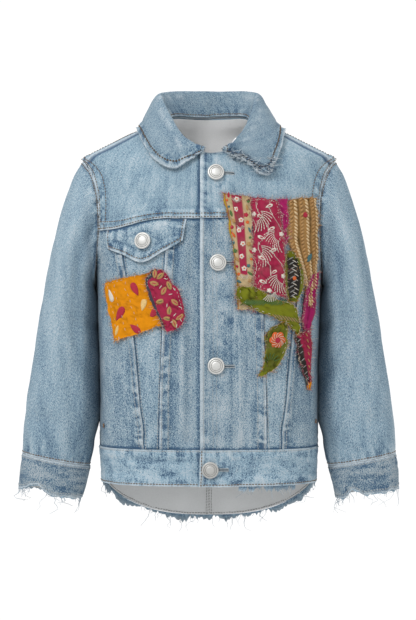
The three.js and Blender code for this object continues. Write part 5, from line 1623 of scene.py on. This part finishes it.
def rag_panel(name, layer, rows, material):
    rows = np.array(rows, float)
    ends = (rows[k].reshape(2, 2) for k in (0, -1))
    edges = [seen_from_front(points) for points in (*ends, rows[:, :2], rows[:, 2:])]
    wide = float((rows[:, 2] - rows[:, 0]).max())
    tall = float(rows[0, 1] - rows[-1, 1])
    cols, downs = max(6, int(wide / 1.25)) + 1, max(10, int(tall / 1.4)) + 1
    steps = (np.linspace(0.15 / size, 1 - 0.15 / size, count) for size, count in ((wide, cols), (tall, downs)))
    u, v = np.meshgrid(*steps)
    girth, z = np.moveaxis(coons(edges, u, v), -1, 0)
    seed = 120 + len(name)
    rim = np.minimum(np.minimum(u, 1 - u) * wide, np.minimum(v, 1 - v) * tall)
    torn, loose = bump(rim, 0, 1.4), bump(rim, 0, 4)
    girth = girth + torn * 0.8 * noise(z / 1.8, girth / 30, seed) + loose * 1.2 * noise(z / 9, 4, seed + 5)
    z = z + torn * 0.8 * noise(girth / 1.8, z / 30, seed + 1) + loose * 1.2 * noise(girth / 9, 5, seed + 6)
    lift = rag_lift(layer, girth, z)
    flat = Cloth(torso_point(girth, z, lift))
    wavy = 0.3 * noise(girth / 7, z / 9, seed + 2) + 0.5 * (0.5 - np.abs(noise(girth / 5, z / 6, seed + 3)))
    wavy = wavy + 0.9 * torn * np.abs(noise(girth / 2.4, z / 2.4, seed + 7))
    quilted = -0.35 * np.exp(-((rim - 3.2) ** 2) / 1.2) * (0.6 + 0.6 * noise(girth / 2.4, z / 2.4, seed + 4))
    lanes = np.sin(u * 3 * math.pi)
    if name == "patch_braid":
        wavy = wavy + 0.7 * np.abs(lanes) + 0.3 * np.sin(z * 1.9 + np.abs(lanes) * 3)
    if name == "patch_pink_ribbon":
        wavy = wavy + 0.6 * lanes
    normals = torso_normal(girth, z)
    under = torso_point(girth, z, lift - RAG)
    face = flat.points + normals * (wavy + quilted + 1.2)[..., None]
    crumpled = 1.5 if "leaf" in name or "tail" in name else 0.9
    folds = np.maximum(crinkled(girth / 8, z / 10, seed + 10), 0.7 * crinkled(girth / 4, z / 3.5, seed + 13))
    face = face - normals * (0.75 * crumpled * folds)[..., None]
    # painted shade: darker in the crumpled folds, in blotches on the green rags and between the braid's cords
    green = 1.7 if name in ("patch_green_leaf", "patch_hanging_leaf") else 1
    deep = 0.62 * crumpled * green * folds + 0.4 * green * np.clip(noise(girth / 3, z / 3, seed + 11), 0, 1)
    if name == "patch_braid":
        deep = deep + 0.9 * bump(lanes, 0, 0.22)
    data = {"tone": rag_tone(name, u, v), "worn": torn, "shade": deep}
    thing = shell_mesh(f"look_{name}", face, under, np.stack([girth, z], -1) / 10, data, False, [material])
    made[name] = lit_normals(Cloth(face), normals)
    across, down = flat.across[:, -1].max(), flat.down[-1].max()
    cut_piece(thing, name, across, down, np.clip(flat.area(), 0.31 * across * down, across * down))


# Rags that haven't faded
SATURATED = ("patch_orange", "patch_green_leaf", "patch_leaf_print")


def build_rags():
    tones = rag_tones()
    for name, (layer, rows) in RAGS.items():
        rag_panel(name, layer, rows, rag_material(f"{name}_look", tones[name], fade=0.02 if name in SATURATED else 0.1))


def spot(cloth, u, v):
    """The place on a piece at shares u and v, its normal, and the ways sideways and up."""
    centre, normal = cloth.sample(np.array([u]), np.array([v]))
    centre, normal = centre[0], normal[0]
    side = unit(np.cross(normal, np.array([0, 0, 1.0]))) * -1
    return centre, normal, side, np.cross(normal, side) * -1


def blob(cloth, u, v, outline, out=0.25, dome=0.35, turn=0.0):
    """A small raised shape on a rag, centred at shares u and v. The outline is in mm."""
    centre, normal, side, top = spot(cloth, u, v)
    c, s = math.cos(turn), math.sin(turn)
    shape = outline @ np.array([[c, s], [-s, c]])
    rings = []
    for share, high in ((1.0, out - 0.8), (1.0, out), (0.6, out + dome * 0.8)):
        flat = shape * share
        rings.append(centre + side * flat[:, :1] + top * flat[:, 1:] + normal * high)
    points = np.concatenate([*rings, [centre + normal * (out + dome)]])
    count = len(shape)
    crown = [(2 * count + k, 2 * count + (k + 1) % count, 3 * count) for k in range(count)]
    return points, tube_faces(3, count) + crown


def fan(thread, cloth, u, v, reach, first, last, count, bend=0.5, thick=0.75, out=0.45):
    """Curved strokes that spread from a point, like a printed plume."""
    centre, normal, side, top = spot(cloth, u, v)
    for turn in np.linspace(first, last, count):
        share = np.linspace(0.4, 1, 6)
        angle = turn + bend * (share - 0.2)
        line = centre + reach * share[:, None] * (np.cos(angle)[:, None] * side + np.sin(angle)[:, None] * top)
        line = line + normal * out
        thread.put(*lozenges(line[:-1], line[1:], np.repeat(normal[None], 5, 0), thick))


# Outlines of the motifs in mm


def leaf(long, wide, count=14):
    t = around(count)
    return np.stack([np.sin(t) * wide / 2 * np.abs(np.sin(t)) ** 0.4, np.cos(t) * long / 2], -1)


def drop(long, wide, count=14):
    t = around(count)
    return np.stack([np.sin(t) * wide / 2 * np.sin(t / 2) ** 0.9, np.cos(t) * long / 2], -1)


def petals(radius, number, depth=0.3, count=30):
    t = around(count)
    r = radius * (1 - depth + depth * np.abs(np.cos(t * number / 2)))
    return np.stack([r * np.cos(t), r * np.sin(t)], -1)


# Drops on the orange rag: ink, shares across and down, length, turn
DROPS = [
    ("red", 0.3, 0.52, 17, 0.6), ("red", 0.62, 0.2, 15, -0.5), ("white", 0.2, 0.22, 14, 2.7),
    ("red", 0.84, 0.62, 15, 0.9), ("red", 0.5, 0.85, 14, 2.2), ("cream", 0.7, 0.44, 13, 0.2),
]
# Seeds on the crimson rag: shares across and down
SEEDS = [
    (0.38, 0.1), (0.62, 0.15), (0.3, 0.26), (0.76, 0.3), (0.5, 0.36), (0.28, 0.48), (0.72, 0.5), (0.46, 0.6),
    (0.8, 0.68), (0.34, 0.72), (0.6, 0.8),
]
# Plumes on the large rag: shares across and down, reach, first turn, bend
PLUMES = [
    (0.1, 0.2, 19, -0.5, 0.7), (0.92, 0.36, 19, 2.2, -0.8), (0.08, 0.6, 20, -0.7, 0.9), (0.9, 0.8, 18, 1.9, -0.6),
    (0.5, 0.98, 12, 0.4, 0.4),
]


def build_motifs():
    inks = {
        "red": (0.34, 0.009, 0.03), "ochre": paint().ochre, "white": (0.6, 0.55, 0.48), "green": (0.06, 0.13, 0.03),
        "orange": (0.55, 0.1, 0.015), "teal": (0.04, 0.12, 0.13), "grey": (0.22, 0.22, 0.21),
        "cord": (0.6, 0.44, 0.25), "cream": (0.62, 0.42, 0.16),
    }
    sets = {key: Thread(f"motifs_{key}", thread_material(f"motif_{key}_look", value)) for key, value in inks.items()}
    white = sets["white"]
    block, hanging = made["patch_block_print"], made["patch_hanging_leaf"]

    def put(ink, rag, u, v, outline, **how):
        sets[ink].put(*blob(made[f"patch_{rag}"], u, v, outline, **how))

    for ink, u, v, long, turn in DROPS:
        put(ink, "orange", u, v, drop(long, long * 0.62), turn=turn)
    put("cream", "orange", 0.16, 0.8, leaf(12, 4), turn=0.4)
    for k, (u, v) in enumerate(SEEDS):
        put("ochre", "leaf_print", u, v, leaf(9.5, 5), turn=0.9 * k)
        put("green" if k % 2 else "red", "leaf_print", u, v, leaf(6, 1.1), turn=0.9 * k, out=0.5)
        put("white", "leaf_print", min(u + 0.16, 0.86), v + 0.05, leaf(4.2, 0.8), turn=1.9 * k, out=0.4)
    for u, v in ((0.5, 0.06), (0.44, 0.16), (0.56, 0.25), (0.45, 0.35), (0.55, 0.46), (0.46, 0.57), (0.53, 0.67)):
        put("white", "strip", u, v, petals(2.8, 5), turn=v * 9)
        put("orange", "strip", u, v, petals(1.0, 3), out=0.6)
    rng = np.random.default_rng(5)
    for k in range(30):
        u, v = (0.82 if k % 2 else 0.2) + rng.uniform(-0.09, 0.09), 0.03 + 0.032 * k
        shape = petals(rng.uniform(1.4, 2.6), 5) if k % 3 else leaf(7, 2.6)
        put(("red", "green", "orange", "ochre", "teal")[k % 5], "strip", u, v, shape, turn=k)
    for v in (0.04, 0.3, 0.72, 0.9):
        fan(white, made["patch_strip"], 0.5, v, 5.5, 0.3, 2.8, 9, 0.2, 0.5)
    for u, v, reach, first, bend in PLUMES:
        fan(white, block, u, v, reach, first, first + 1.5, 9, bend, 0.8)
        put("white", "block_print", u, v, petals(2.6, 5))
    for k in range(8):
        u, v, turn = 0.62 - 0.28 * (k % 2), 0.1 + 0.115 * k, 1.2 * (-1) ** k
        put("white", "block_print", u, v, drop(8.5, 4.4), turn=turn)
        put("red", "block_print", u, v, drop(4, 1.8), turn=turn, out=0.6)
    for k in range(30):
        for lane in (0.17, 0.5, 0.83):
            put("ochre", "braid", lane - 0.075, 0.02 + 0.0325 * k, leaf(5.2, 2.2), turn=0.85, dome=0.9)
            put("cord", "braid", lane + 0.075, 0.035 + 0.0325 * k, leaf(5.2, 2.2), turn=-0.85, dome=0.9)
    put("teal", "braid", 0.55, 0.55, leaf(11, 5), turn=0.7, out=1.1)
    put("red", "braid", 0.5, 0.16, petals(3.0, 5), out=1.1)
    for k in range(9):
        put("grey", "dark_leaf", 0.36 + 0.05 * (k % 3), 0.16 + 0.08 * k, leaf(7, 1.1), turn=1.1)
        put("white", "dark_leaf", 0.62 - 0.05 * (k % 3), 0.2 + 0.08 * k, leaf(6, 0.8), turn=-1.1)
    put("orange", "dark_leaf", 0.5, 0.5, petals(2.2, 6), out=0.5)
    for k in range(16):
        put("green", "green_leaf", 0.07 + 0.056 * k, 0.34, leaf(10, 1.3), turn=0.9)
        put("green" if k % 2 else "ochre", "green_leaf", 0.08 + 0.056 * k, 0.68, leaf(8, 1.0), turn=-0.8)
    put("orange", "hanging_leaf", 0.52, 0.34, petals(9, 6, 0.22, 36), out=0.5)
    fan(white, hanging, 0.52, 0.34, 7.5, 0, 6.0, 12, 1.1, 0.55, 1.0)
    put("red", "hanging_leaf", 0.52, 0.34, petals(3.2, 5), out=1.0)
    fan(sets["green"], hanging, 0.45, 0.72, 11, 3.6, 5.6, 6, 0.3, 0.9)
    for k in range(7):
        put("grey", "hanging_tail", 0.25, 0.1 + 0.1 * k, leaf(6, 1.1), turn=1.0)
        put("ochre", "hanging_tail", 0.68, 0.08 + 0.09 * k, leaf(5, 1.4), turn=-0.8)
    for collected in sets.values():
        collected.finish()


def build_rag_stitches():
    threads = [
        Thread("rag_stitches", thread_material("rag_stitch_look", (0.55, 0.5, 0.43))),
        Thread("rag_bindings", thread_material("rag_binding_look", (0.22, 0.13, 0.09))),
    ]
    rng = np.random.default_rng(21)
    for number, name in enumerate(RAGS):
        cloth = made[name]
        for k, edge in enumerate(EDGES):
            for start in np.arange(0.04, 0.9, 0.3):
                if rng.random() < 0.35:
                    continue
                inset, end = rng.uniform(1.6, 3.4), start + rng.uniform(0.1, 0.28)
                points, normals = edge_row(cloth, edge, inset, start, end, 50)
                target = threads[(number + k) % 3 == 2]
                target.row(points, normals, rng.uniform(1.4, 2.6), rng.uniform(1.6, 3.4), 0.42, 0.3, 0, 0.3, number)
    for name, insets in (("patch_orange", (9, 19, 31)), ("patch_block_print", (8,)), ("patch_green_leaf", (5,))):
        for inset in insets:
            points, normals = edge_row(made[name], "left", inset, 0.08, 0.92)
            threads[0].row(points, normals, 2.6, 4.2, 0.45, 0.3, wander=0.3, seed=inset)
    for thread in threads:
        thread.finish()
    colours = {"pale": (0.6, 0.5, 0.4), "warm": (0.45, 0.2, 0.03), "rosy": (0.34, 0.05, 0.1)}
    gathered = {word: ([], []) for word in colours}
    for name in RAGS:
        cloth = made[name]
        warm = any(word in name for word in ("orange", "braid", "green", "hanging_leaf", "dark"))
        for edge in EDGES:
            rim, _ = edge_row(cloth, edge, 0.25, 0, 1)
            inner, normals = edge_row(cloth, edge, 2.2, 0, 1)
            span = float(np.linalg.norm(np.diff(rim, axis=0), axis=-1).sum())
            for word, share in (("pale", 0.75), ("warm" if warm else "rosy", 1.0)):
                picks = rng.integers(0, len(rim), max(3, int(span * share)))
                gathered[word][0].append(rim[picks])
                gathered[word][1].append(unit(rim[picks] - inner[picks]) + normals[picks] * 0.15)
    for k, (word, (roots, ways)) in enumerate(gathered.items()):
        roots, ways = np.concatenate(roots), np.concatenate(ways)
        ways = unit(ways + rng.normal(0, 0.45, ways.shape) + np.array([0, 0, -0.2]))
        lengths = 0.8 + 4.5 * rng.random(len(roots)) ** 2
        look = thread_material(f"rag_fray_{word}_look", colours[word])
        strands(f"rag_frays_{word}", roots, ways, lengths, 0.36, look, 9 + k)


def lathe(name, profile, centre, normal, segments, materials, grooves=()):
    """A turned body about the normal. The profile is radius and height in mm; grooves are dark rings."""
    profile = np.array(profile, float)
    side = unit(np.cross(normal, np.array([0.1, 0.2, 1.0])))
    other = np.cross(normal, side)
    turn = around(segments)
    spoke = side * np.cos(turn)[:, None] + other * np.sin(turn)[:, None]
    points = centre + spoke[None] * profile[:, 0][:, None, None] + normal * profile[:, 1][:, None, None]
    last = (len(profile) - 1) * segments
    faces = [*tube_faces(len(profile), segments), range(segments)[::-1], range(last, last + segments)]
    mesh = smooth_mesh(name, points.reshape(-1, 3), faces, materials)
    for ring in grooves:
        for k in range(segments):
            mesh.polygons[ring * segments + k].material_index = 1
    mesh.set_sharp_from_angle(angle=math.radians(35))
    return show(name, mesh)


def build_buttons():
    groove = metal("button_groove_look", toned(paint().metal, 0.25), 0.6)
    shine = metal("button_look", paint().metal, 0.42)
    dull = metal("dull_button_look", toned(paint().metal, 0.8), 0.5)
    r = mm("button")
    profile = [
        (3.5, 0.1), (3.5, 1.3), (r - 0.7, 1.35), (r - 0.1, 1.7), (r, 2.3), (r - 0.3, 2.9), (r - 1.0, 3.3),
        (r - 1.6, 3.25), (r - 1.9, 2.85), (r - 2.3, 2.8), (r - 2.7, 3.15), (r - 3.3, 3.3), (r - 3.6, 3.0),
        (r - 3.9, 2.98), (r - 4.2, 3.3), (r - 5.6, 3.7), (0.4, 3.85),
    ]
    for name, (x, z, out) in BUTTONS.items():
        girth = girth_at(x, z)
        base = torso_point(girth, z, out + SEAM_GAP)
        look = [dull if name == "waist_button" else shine, groove]
        thing = lathe(f"look_{name}", profile, base, torso_normal(girth, z), 56, look, (8, 12))
        stand_for(thing, name)


def ragged_strip(name, at, deep, count, seed, material, closed=False):
    """A ragged strip below an edge. at gives the point for shares along, mm below and mm out."""
    t = np.linspace(0, 1, count + 1)[: count if closed else count + 1][None, :]
    ring = t * 2 * math.pi
    wave = noise(np.cos(ring) * 9, np.sin(ring) * 9, seed) if closed else noise(t * 26, 0.0, seed)
    jag = noise(t * count / 1.3, 0.0, seed + 1)
    drops = deep * np.clip(0.55 + 0.5 * wave + 0.3 * jag, 0.08, 1.2)
    share = np.linspace(0, 1, 5)[:, None]
    down = 0.05 + share * drops
    curl = 0.6 * share**2 * noise(t * 40, 2.0, seed + 2)
    spread = np.broadcast_to(t, down.shape)
    face, under = at(spread, down, 0.15 + curl), at(spread, down, curl - 1.6 + 1.1 * share)
    plain = Cloth(face, closed)
    fall = np.concatenate([plain.down, plain.down[:, :1]], 1)[:, : plain.across.shape[1]]
    uv = np.stack([plain.across, -fall], -1) / 10
    rim = {"wash_and_painted_shade": -0.25 + 0.4 * jag * np.ones_like(down), "worn": np.broadcast_to(share**2 * 0.7, down.shape)}
    stand_for(shell_mesh(f"look_{name}", face, under, uv, rim, closed, [material]), name)


def build_frays():
    pale = thread_material("fray_thread_look", (0.34, 0.42, 0.49))
    rng = np.random.default_rng(17)
    # painted light: the cuff fray strip is made paler than the cloth to make up for the shade on its inward face
    strip_look, blue_look = denim("fray_strip_look", 1.3), denim("hem_strip_look", 1.45, 0.3)
    frays = bpy.context.scene.jacket_sizes.frays

    def hang(name, at, count, reach, seed):
        t = rng.uniform(0.005, 0.995, count)
        roots, low = at(t, np.full(count, 1.2), -0.35), at(t, np.full(count, 6.0), -0.2)
        ways = unit(unit(low - roots) + rng.normal(0, 0.28, (count, 3)) * np.array([1, 0.35, 0.3]))
        lengths = reach * (0.16 + 0.84 * rng.random(count) ** 2.7)
        strands(name, roots, ways, lengths, 0.62, pale, seed, 0.42)

    for side, word in SIDES:
        reach = ragged_end(side)

        def cuff(t, drop_mm, out, side=side, reach=reach):
            turn = (math.pi + 2 * math.pi * t) % (2 * math.pi)
            point = sleeve_point(reach(turn), turn, out - 0.2 + crease_relief(reach(turn), turn))
            point = point * np.array([side, 1, 1])
            point[..., 2] -= drop_mm
            return point

        ragged_strip(f"cuff_fray_{word}", cuff, 1.8, 150, 200 + side, strip_look, True)
        hang(f"cuff_threads_{word}", cuff, 32, 20 if side > 0 else 22, 216 + side)

    def hem(t, drop_mm, out):
        girth = SIDE_SEAM_AT_HEM + 6 + (2 * BACK - 2 * SIDE_SEAM_AT_HEM - 12) * t
        return torso_point(girth, back_hem_z(girth) - drop_mm, out)

    def band(t, drop_mm, out):
        return torso_point(girth_at(30 + 58 * t, FRONT_HEM_Z), FRONT_HEM_Z - drop_mm, out - 0.3)

    ragged_strip("back_hem_fray", hem, 8, 230, 220, blue_look)
    ragged_strip("waistband_fray", band, 6.5, 60, 230, blue_look)
    hang("hem_threads", hem, int(frays * 1.6), 21, 221)
    hang("band_threads", band, int(frays * 0.8), 13, 231)
    fray_collar(rng)


def fray_collar(rng):
    """Short pale hairs all round the collar, and the torn threads of its left point."""
    collar = made["collar"]
    gathered = []
    for edge, start, end, density, long in (
        ("right", 0, 0.5, 520, 2.0), ("right", 0.5, 1, 560, 3.0), ("top", 0, 1, 40, 1.4), ("bottom", 0, 1, 40, 1.6),
    ):
        rim, _ = edge_row(collar, edge, 0.3, start, end, 300)
        inner, _ = edge_row(collar, edge, 3, start, end, 300)
        picks = rng.integers(0, 300, density)
        from_back = np.abs(start + (end - start) * picks / 300 - 0.5)
        at_tip = bump(from_back, 0.22, 0.09) if edge == "right" else 0
        lengths = rng.uniform(0.5, long, density) * (1 - 0.65 * at_tip)
        gathered.append((rim[picks], unit(rim[picks] - inner[picks]), lengths))
    roots, ways, lengths = (np.concatenate(part) for part in zip(*gathered))
    ways = unit(ways + rng.normal(0, 0.4, ways.shape) + np.array([0, 0, -0.45]))
    strands("collar_threads", roots, ways, lengths, 0.6, thread_material("collar_fray_look", (0.5, 0.57, 0.62)), 33)
    for word, look, count, thick, seed in (
        ("pale", thread_material("torn_pale_look", (0.52, 0.58, 0.62)), 90, 0.8, 35),
        ("dark", thread_material("torn_collar_look", (0.07, 0.12, 0.19)), 60, 1.0, 36),
    ):
        start = rng.uniform(0.79, 0.985, count)
        inset = rng.uniform(0.3, 5.5, count)
        spots = [edge_row(collar, "right", far, at, at, 1) for far, at in zip(inset, start)]
        roots, facing = (np.concatenate(part) for part in zip(*spots))
        ways = unit(rng.normal(0, 1, (count, 3)) * np.array([1, 0.3, 0.8]) + facing * 0.25)
        strands(f"torn_collar_{word}", roots + facing * 0.3, ways, rng.uniform(2, 6, count), thick, look, seed, 1.1)


# Rows of stitches of each piece: edge, distances from it, thread, first and last share, thickness.
# Those of the tubes: piece, whether at its top, distance from the edge, thread.
ROWS = {
    "front_yoke_{}": [("bottom", (2.8, 9.0), "tan"), ("right", (2.6, 8.2), "tan"), ("top", (3.6, 10.5), "tan")],
    "front_side_{}": [("left", (2.4, 8.4), "pale")],
    "front_tapered_{}": [("right", (2.4,), "pale"), ("left", (2.4,), "pale")],
    "front_centre_{}": [("right", (2.4, 8.6), "pale"), ("left", (4.2,), "pale")],
    "waistband_{}": [("top", (2.4,), "pale"), ("bottom", (3.4,), "tan"), ("left", (3.8,), "tan")],
    "back_{}": [("left", (2.4, 7.6), "tan", 0, 1), ("bottom", (4,), "tan", 0, 1)],
    "front_centre_left": [("left", (13.5, 17.5), "pale", 0, 1, 0.5)],
    "back_yoke": [
        ("bottom", (2.2, 7.4), "tan"), ("left", (2.4,), "tan", 0, 1), ("right", (2.4,), "tan", 0, 1),
        ("top", (2.2,), "tan", 0.02, 0.27), ("top", (2.2,), "tan", 0.73, 0.98),
    ],
    "collar": [
        ("right", (4.8, 5.5), "dark", 0.012, 0.988, 1), ("top", (4.4,), "dark", 0.45, 0.97, 1),
        ("bottom", (4.4,), "dark", 0.45, 0.97, 1), ("left", (2.4,), "tan", 0, 1),
    ],
    "pocket_flap": [
        ("bottom", (4.6,), "tan", 0.04, 0.96), ("left", (4.4,), "tan", 0.04, 0.96),
        ("right", (4.4,), "tan", 0.04, 0.96),
    ],
}
TUBE_ROWS = [
    ("sleeve", True, 2.4, "tan"), ("sleeve", False, 1.8, "tan"),
    ("cuff", True, 2.6, "pale"), ("cuff", False, 3.6, "pale"),
]


def build_stitching():
    looks = {"tan": paint().tan, "pale": paint().pale, "dark": toned(paint().tan, 0.6)}
    threads = {word: Thread(f"stitches_{word}", thread_material(f"{word}_thread_look", c)) for word, c in looks.items()}
    for piece, rows in ROWS.items():
        for name in dict.fromkeys((piece.format("right"), piece.format("left"))):
            for edge, insets, thread, *rest in rows:
                start, end, thick = (*rest, *(0.01, 0.99, None)[len(rest) :])
                for inset in insets:
                    points, normals = edge_row(made[name], edge, inset, start, end, 420)
                    if name.startswith(("front", "waist")):
                        normals = np.where(normals[:, 1:2] > 0, -normals, normals)
                    threads[thread].row(points, normals, None, 0.75, thick, seed=int(inset * 10))
    for _, word in SIDES:
        for piece, at_top, inset, thread in TUBE_ROWS:
            cloth = made[f"{piece}_{word}"]
            share = inset / float(cloth.down[-1].mean())
            points, normals = cloth.sample(np.linspace(0, 1, 300, endpoint=False), share if at_top else 1 - share)
            threads[thread].row(points, normals, None, 0.75, seed=int(inset * 10))
    inner = Thread("stitches_inside", thread_material("inside_thread_look", (0.16, 0.16, 0.16)))
    for name in ("back_left", "back_right"):
        for edge, inset in (("bottom", 3.0), ("left", 1.0), ("left", 4.6)):
            points, normals = edge_row(made[name], edge, inset, 0.01, 0.99, 420)
            inner.row(points - normals * 2.3, -normals, 2.2, 0.8, 0.75 if edge == "bottom" else 0.5, 0.2)
    inner.finish()
    build_buttonholes(threads["pale"])
    build_tacks(Thread("bar_tacks", thread_material("tack_thread_look", (0.22, 0.12, 0.06))))
    for thread in threads.values():
        thread.finish()


def build_buttonholes(thread):
    # painted shade: a dark blue bar stands for the shadowed opening of each buttonhole
    slit = Thread("buttonhole_slits", thread_material("buttonhole_slit_look", (0.05, 0.085, 0.13)))
    up = np.array([0, 0, 1.0])
    for x, z, lap in HOLES:
        xs = np.linspace(x - 7, x + 2.5, 24)
        zs = np.full_like(xs, z)
        girth = girth_at(xs, zs)
        out = lap_at(xs, lap) + 0.75 + fold_relief(girth, zs, FINE_FOLDS)
        points, normals = torso_point(girth, zs, out), torso_normal(girth, zs)
        slit.put(*lozenges(points[:-1], points[1:], normals[:-1], 0.7))
        stitched = np.linspace(0, 23, 26).astype(int)
        for way in (-up, up):
            starts = points[stitched] + way * 0.4 - normals[stitched] * 0.1
            thread.put(*lozenges(starts, starts + way * 1.3, normals[stitched], 0.5))
    slit.finish()


def build_tacks(thread):
    for x, z in ((-107.5, -316), (109.5, -312)):
        for k in range(7):
            line_x, line_z = np.array([x - 0.8, x + 0.8]), np.full(2, z + (k - 3) * 0.62)
            girth = girth_at(line_x, line_z)
            points = torso_point(girth, line_z, 1.0 + fold_relief(girth, line_z, FINE_FOLDS))
            thread.put(*lozenges(points[:1], points[1:], torso_normal(girth, line_z)[:1], 0.6))
    thread.finish()


def build_stage():
    scene = bpy.context.scene
    ring = around(64)
    points = [(r * math.cos(a), r * math.sin(a), FLOOR_Z) for r in (0.0001, 0.5, 1.0, 1.4) for a in ring]
    floor_mesh = bpy.data.meshes.new("floor")
    floor_mesh.from_pydata(points, [], [face[::-1] for face in tube_faces(4, 64)])
    material, tree, shader = nodes_of("floor_look")
    grain = node(tree, "ShaderNodeTexNoise", None, Scale=30.0, Detail=2.0).outputs[0]
    coat(tree, shader, mixed(tree, grain, rgba((0.8, 0.8, 0.8)), rgba((0.84, 0.84, 0.84))), 0.9)
    floor_mesh.materials.append(material)
    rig.stage(placed("floor", floor_mesh))
    world = scene.world = bpy.data.worlds.new("studio")
    world.use_nodes = True
    background = world.node_tree.nodes["Background"]
    background.inputs[0].default_value = (1, 1, 1, 1)
    background.inputs[1].default_value = 0.8
    wall, wall_tree, _ = nodes_of("backdrop_look")
    wall_tree.nodes.clear()
    glow = node(wall_tree, "ShaderNodeEmission", None, Strength=1.05)
    node(wall_tree, "ShaderNodeOutputMaterial", None, Surface=glow.outputs[0])
    rise = np.linspace(-1.56, 1.56, 17)[:, None]
    turn = around(32)[None]
    dome = BACKDROP_RADIUS * np.stack(
        [np.cos(rise) * np.cos(turn), np.cos(rise) * np.sin(turn), np.sin(rise) * np.ones_like(turn)], -1
    )
    dome_mesh = bpy.data.meshes.new("backdrop")
    dome_mesh.from_pydata(dome.reshape(-1, 3).tolist(), [], tube_faces(17, 32))
    dome_mesh.materials.append(wall)
    backdrop = placed("backdrop", dome_mesh)
    backdrop.visible_diffuse = backdrop.visible_glossy = backdrop.visible_shadow = False
    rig.stage(backdrop)
    for name, place, power, size in LAMPS:
        data = bpy.data.lights.new(name, "AREA")
        data.energy, data.size = power, size
        lamp = placed(name, data)
        lamp.location = place
        lamp.rotation_euler = (Vector((0, 0, -0.2)) - Vector(place)).to_track_quat("-Z", "Y").to_euler()
    lens = bpy.data.cameras.new("camera")
    lens.sensor_width, lens.lens = 36, 110.6
    lens.clip_start, lens.clip_end = 0.05, 20
    scene.camera = placed("camera", lens)
    scene.camera.location = (-0.001, -2.0, -0.1974)
    scene.camera.rotation_euler = (math.pi / 2, 0, 0)
    scene.view_settings.view_transform = "Standard"


# The add-on's buttons


def run(operator, *works):
    try:
        for work in works:
            work()
    except (KeyError, ValueError, RuntimeError) as problem:
        operator.report({"ERROR"}, str(problem))
        raise
    return {"FINISHED"}


class JACKET_OT_fronts(bpy.types.Operator):
    """Build the yokes, panels and waistband of both fronts"""

    bl_idname = "jacket.fronts"
    bl_label = "Fronts"

    def execute(self, context):
        return run(self, build_fronts)


class JACKET_OT_back(bpy.types.Operator):
    """Build the back yoke and the two back panels"""

    bl_idname = "jacket.back"
    bl_label = "Back"

    def execute(self, context):
        return run(self, build_back)


class JACKET_OT_sleeves(bpy.types.Operator):
    """Build both sleeves and their cuffs"""

    bl_idname = "jacket.sleeves"
    bl_label = "Sleeves"

    def execute(self, context):
        return run(self, build_sleeves)


class JACKET_OT_collar(bpy.types.Operator):
    """Build the turned-down collar"""

    bl_idname = "jacket.collar"
    bl_label = "Collar"

    def execute(self, context):
        return run(self, build_collar)


class JACKET_OT_flap(bpy.types.Operator):
    """Build the pocket flap"""

    bl_idname = "jacket.flap"
    bl_label = "Pocket Flap"

    def execute(self, context):
        return run(self, build_flap)


class JACKET_OT_rags(bpy.types.Operator):
    """Build the rags sewn on the fronts"""

    bl_idname = "jacket.rags"
    bl_label = "Rags"

    def execute(self, context):
        return run(self, build_rags)


class JACKET_OT_motifs(bpy.types.Operator):
    """Embroider the rags and sew them on"""

    bl_idname = "jacket.motifs"
    bl_label = "Embroidery"

    def execute(self, context):
        return run(self, build_motifs, build_rag_stitches)


class JACKET_OT_stitching(bpy.types.Operator):
    """Sew the seams, the buttonholes and the bar tacks"""

    bl_idname = "jacket.stitching"
    bl_label = "Stitching"

    def execute(self, context):
        return run(self, build_stitching)


class JACKET_OT_buttons(bpy.types.Operator):
    """Build the metal buttons"""

    bl_idname = "jacket.buttons"
    bl_label = "Buttons"

    def execute(self, context):
        return run(self, build_buttons)


class JACKET_OT_frays(bpy.types.Operator):
    """Build the frayed edges and loose threads"""

    bl_idname = "jacket.frays"
    bl_label = "Frays"

    def execute(self, context):
        return run(self, build_frays)


class JACKET_OT_stage(bpy.types.Operator):
    """Set up the floor, the lights and the camera"""

    bl_idname = "jacket.stage"
    bl_label = "Stage"

    def execute(self, context):
        return run(self, build_stage)


OPERATORS = (
    JACKET_OT_fronts, JACKET_OT_back, JACKET_OT_sleeves, JACKET_OT_collar, JACKET_OT_flap, JACKET_OT_rags,
    JACKET_OT_motifs, JACKET_OT_stitching, JACKET_OT_buttons, JACKET_OT_frays, JACKET_OT_stage,
)


class JACKET_PT_panel(bpy.types.Panel):
    """Lists the sizes, the colours and the steps"""

    bl_label = "Patched Denim Jacket"
    bl_idname = "JACKET_PT_panel"
    bl_space_type = "VIEW_3D"
    bl_region_type = "UI"
    bl_category = "Jacket"

    def draw(self, context):
        for group in (context.scene.jacket_sizes, context.scene.jacket_colours):
            for name in group.__annotations__:
                self.layout.prop(group, name)
        for operator in OPERATORS:
            self.layout.operator(operator.bl_idname)


CLASSES = (JacketSizes, JacketColours, *OPERATORS, JACKET_PT_panel)


def register():
    for cls in CLASSES:
        bpy.utils.register_class(cls)
    bpy.types.Scene.jacket_sizes = PointerProperty(type=JacketSizes)
    bpy.types.Scene.jacket_colours = PointerProperty(type=JacketColours)


def unregister():
    del bpy.types.Scene.jacket_colours
    del bpy.types.Scene.jacket_sizes
    for cls in reversed(CLASSES):
        bpy.utils.unregister_class(cls)


def main():
    register()
    for operator in OPERATORS:
        group, name = operator.bl_idname.split(".")
        getattr(getattr(bpy.ops, group), name)()
    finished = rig.bounds()
    sizes_found = {
        "loaded": [list(corner) for corner in LOADED_BOUNDS],
        "finished": [list(corner) for corner in finished],
    }
    with open("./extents.json", "w") as file:
        json.dump(sizes_found, file)


if __name__ == "__main__":
    main()
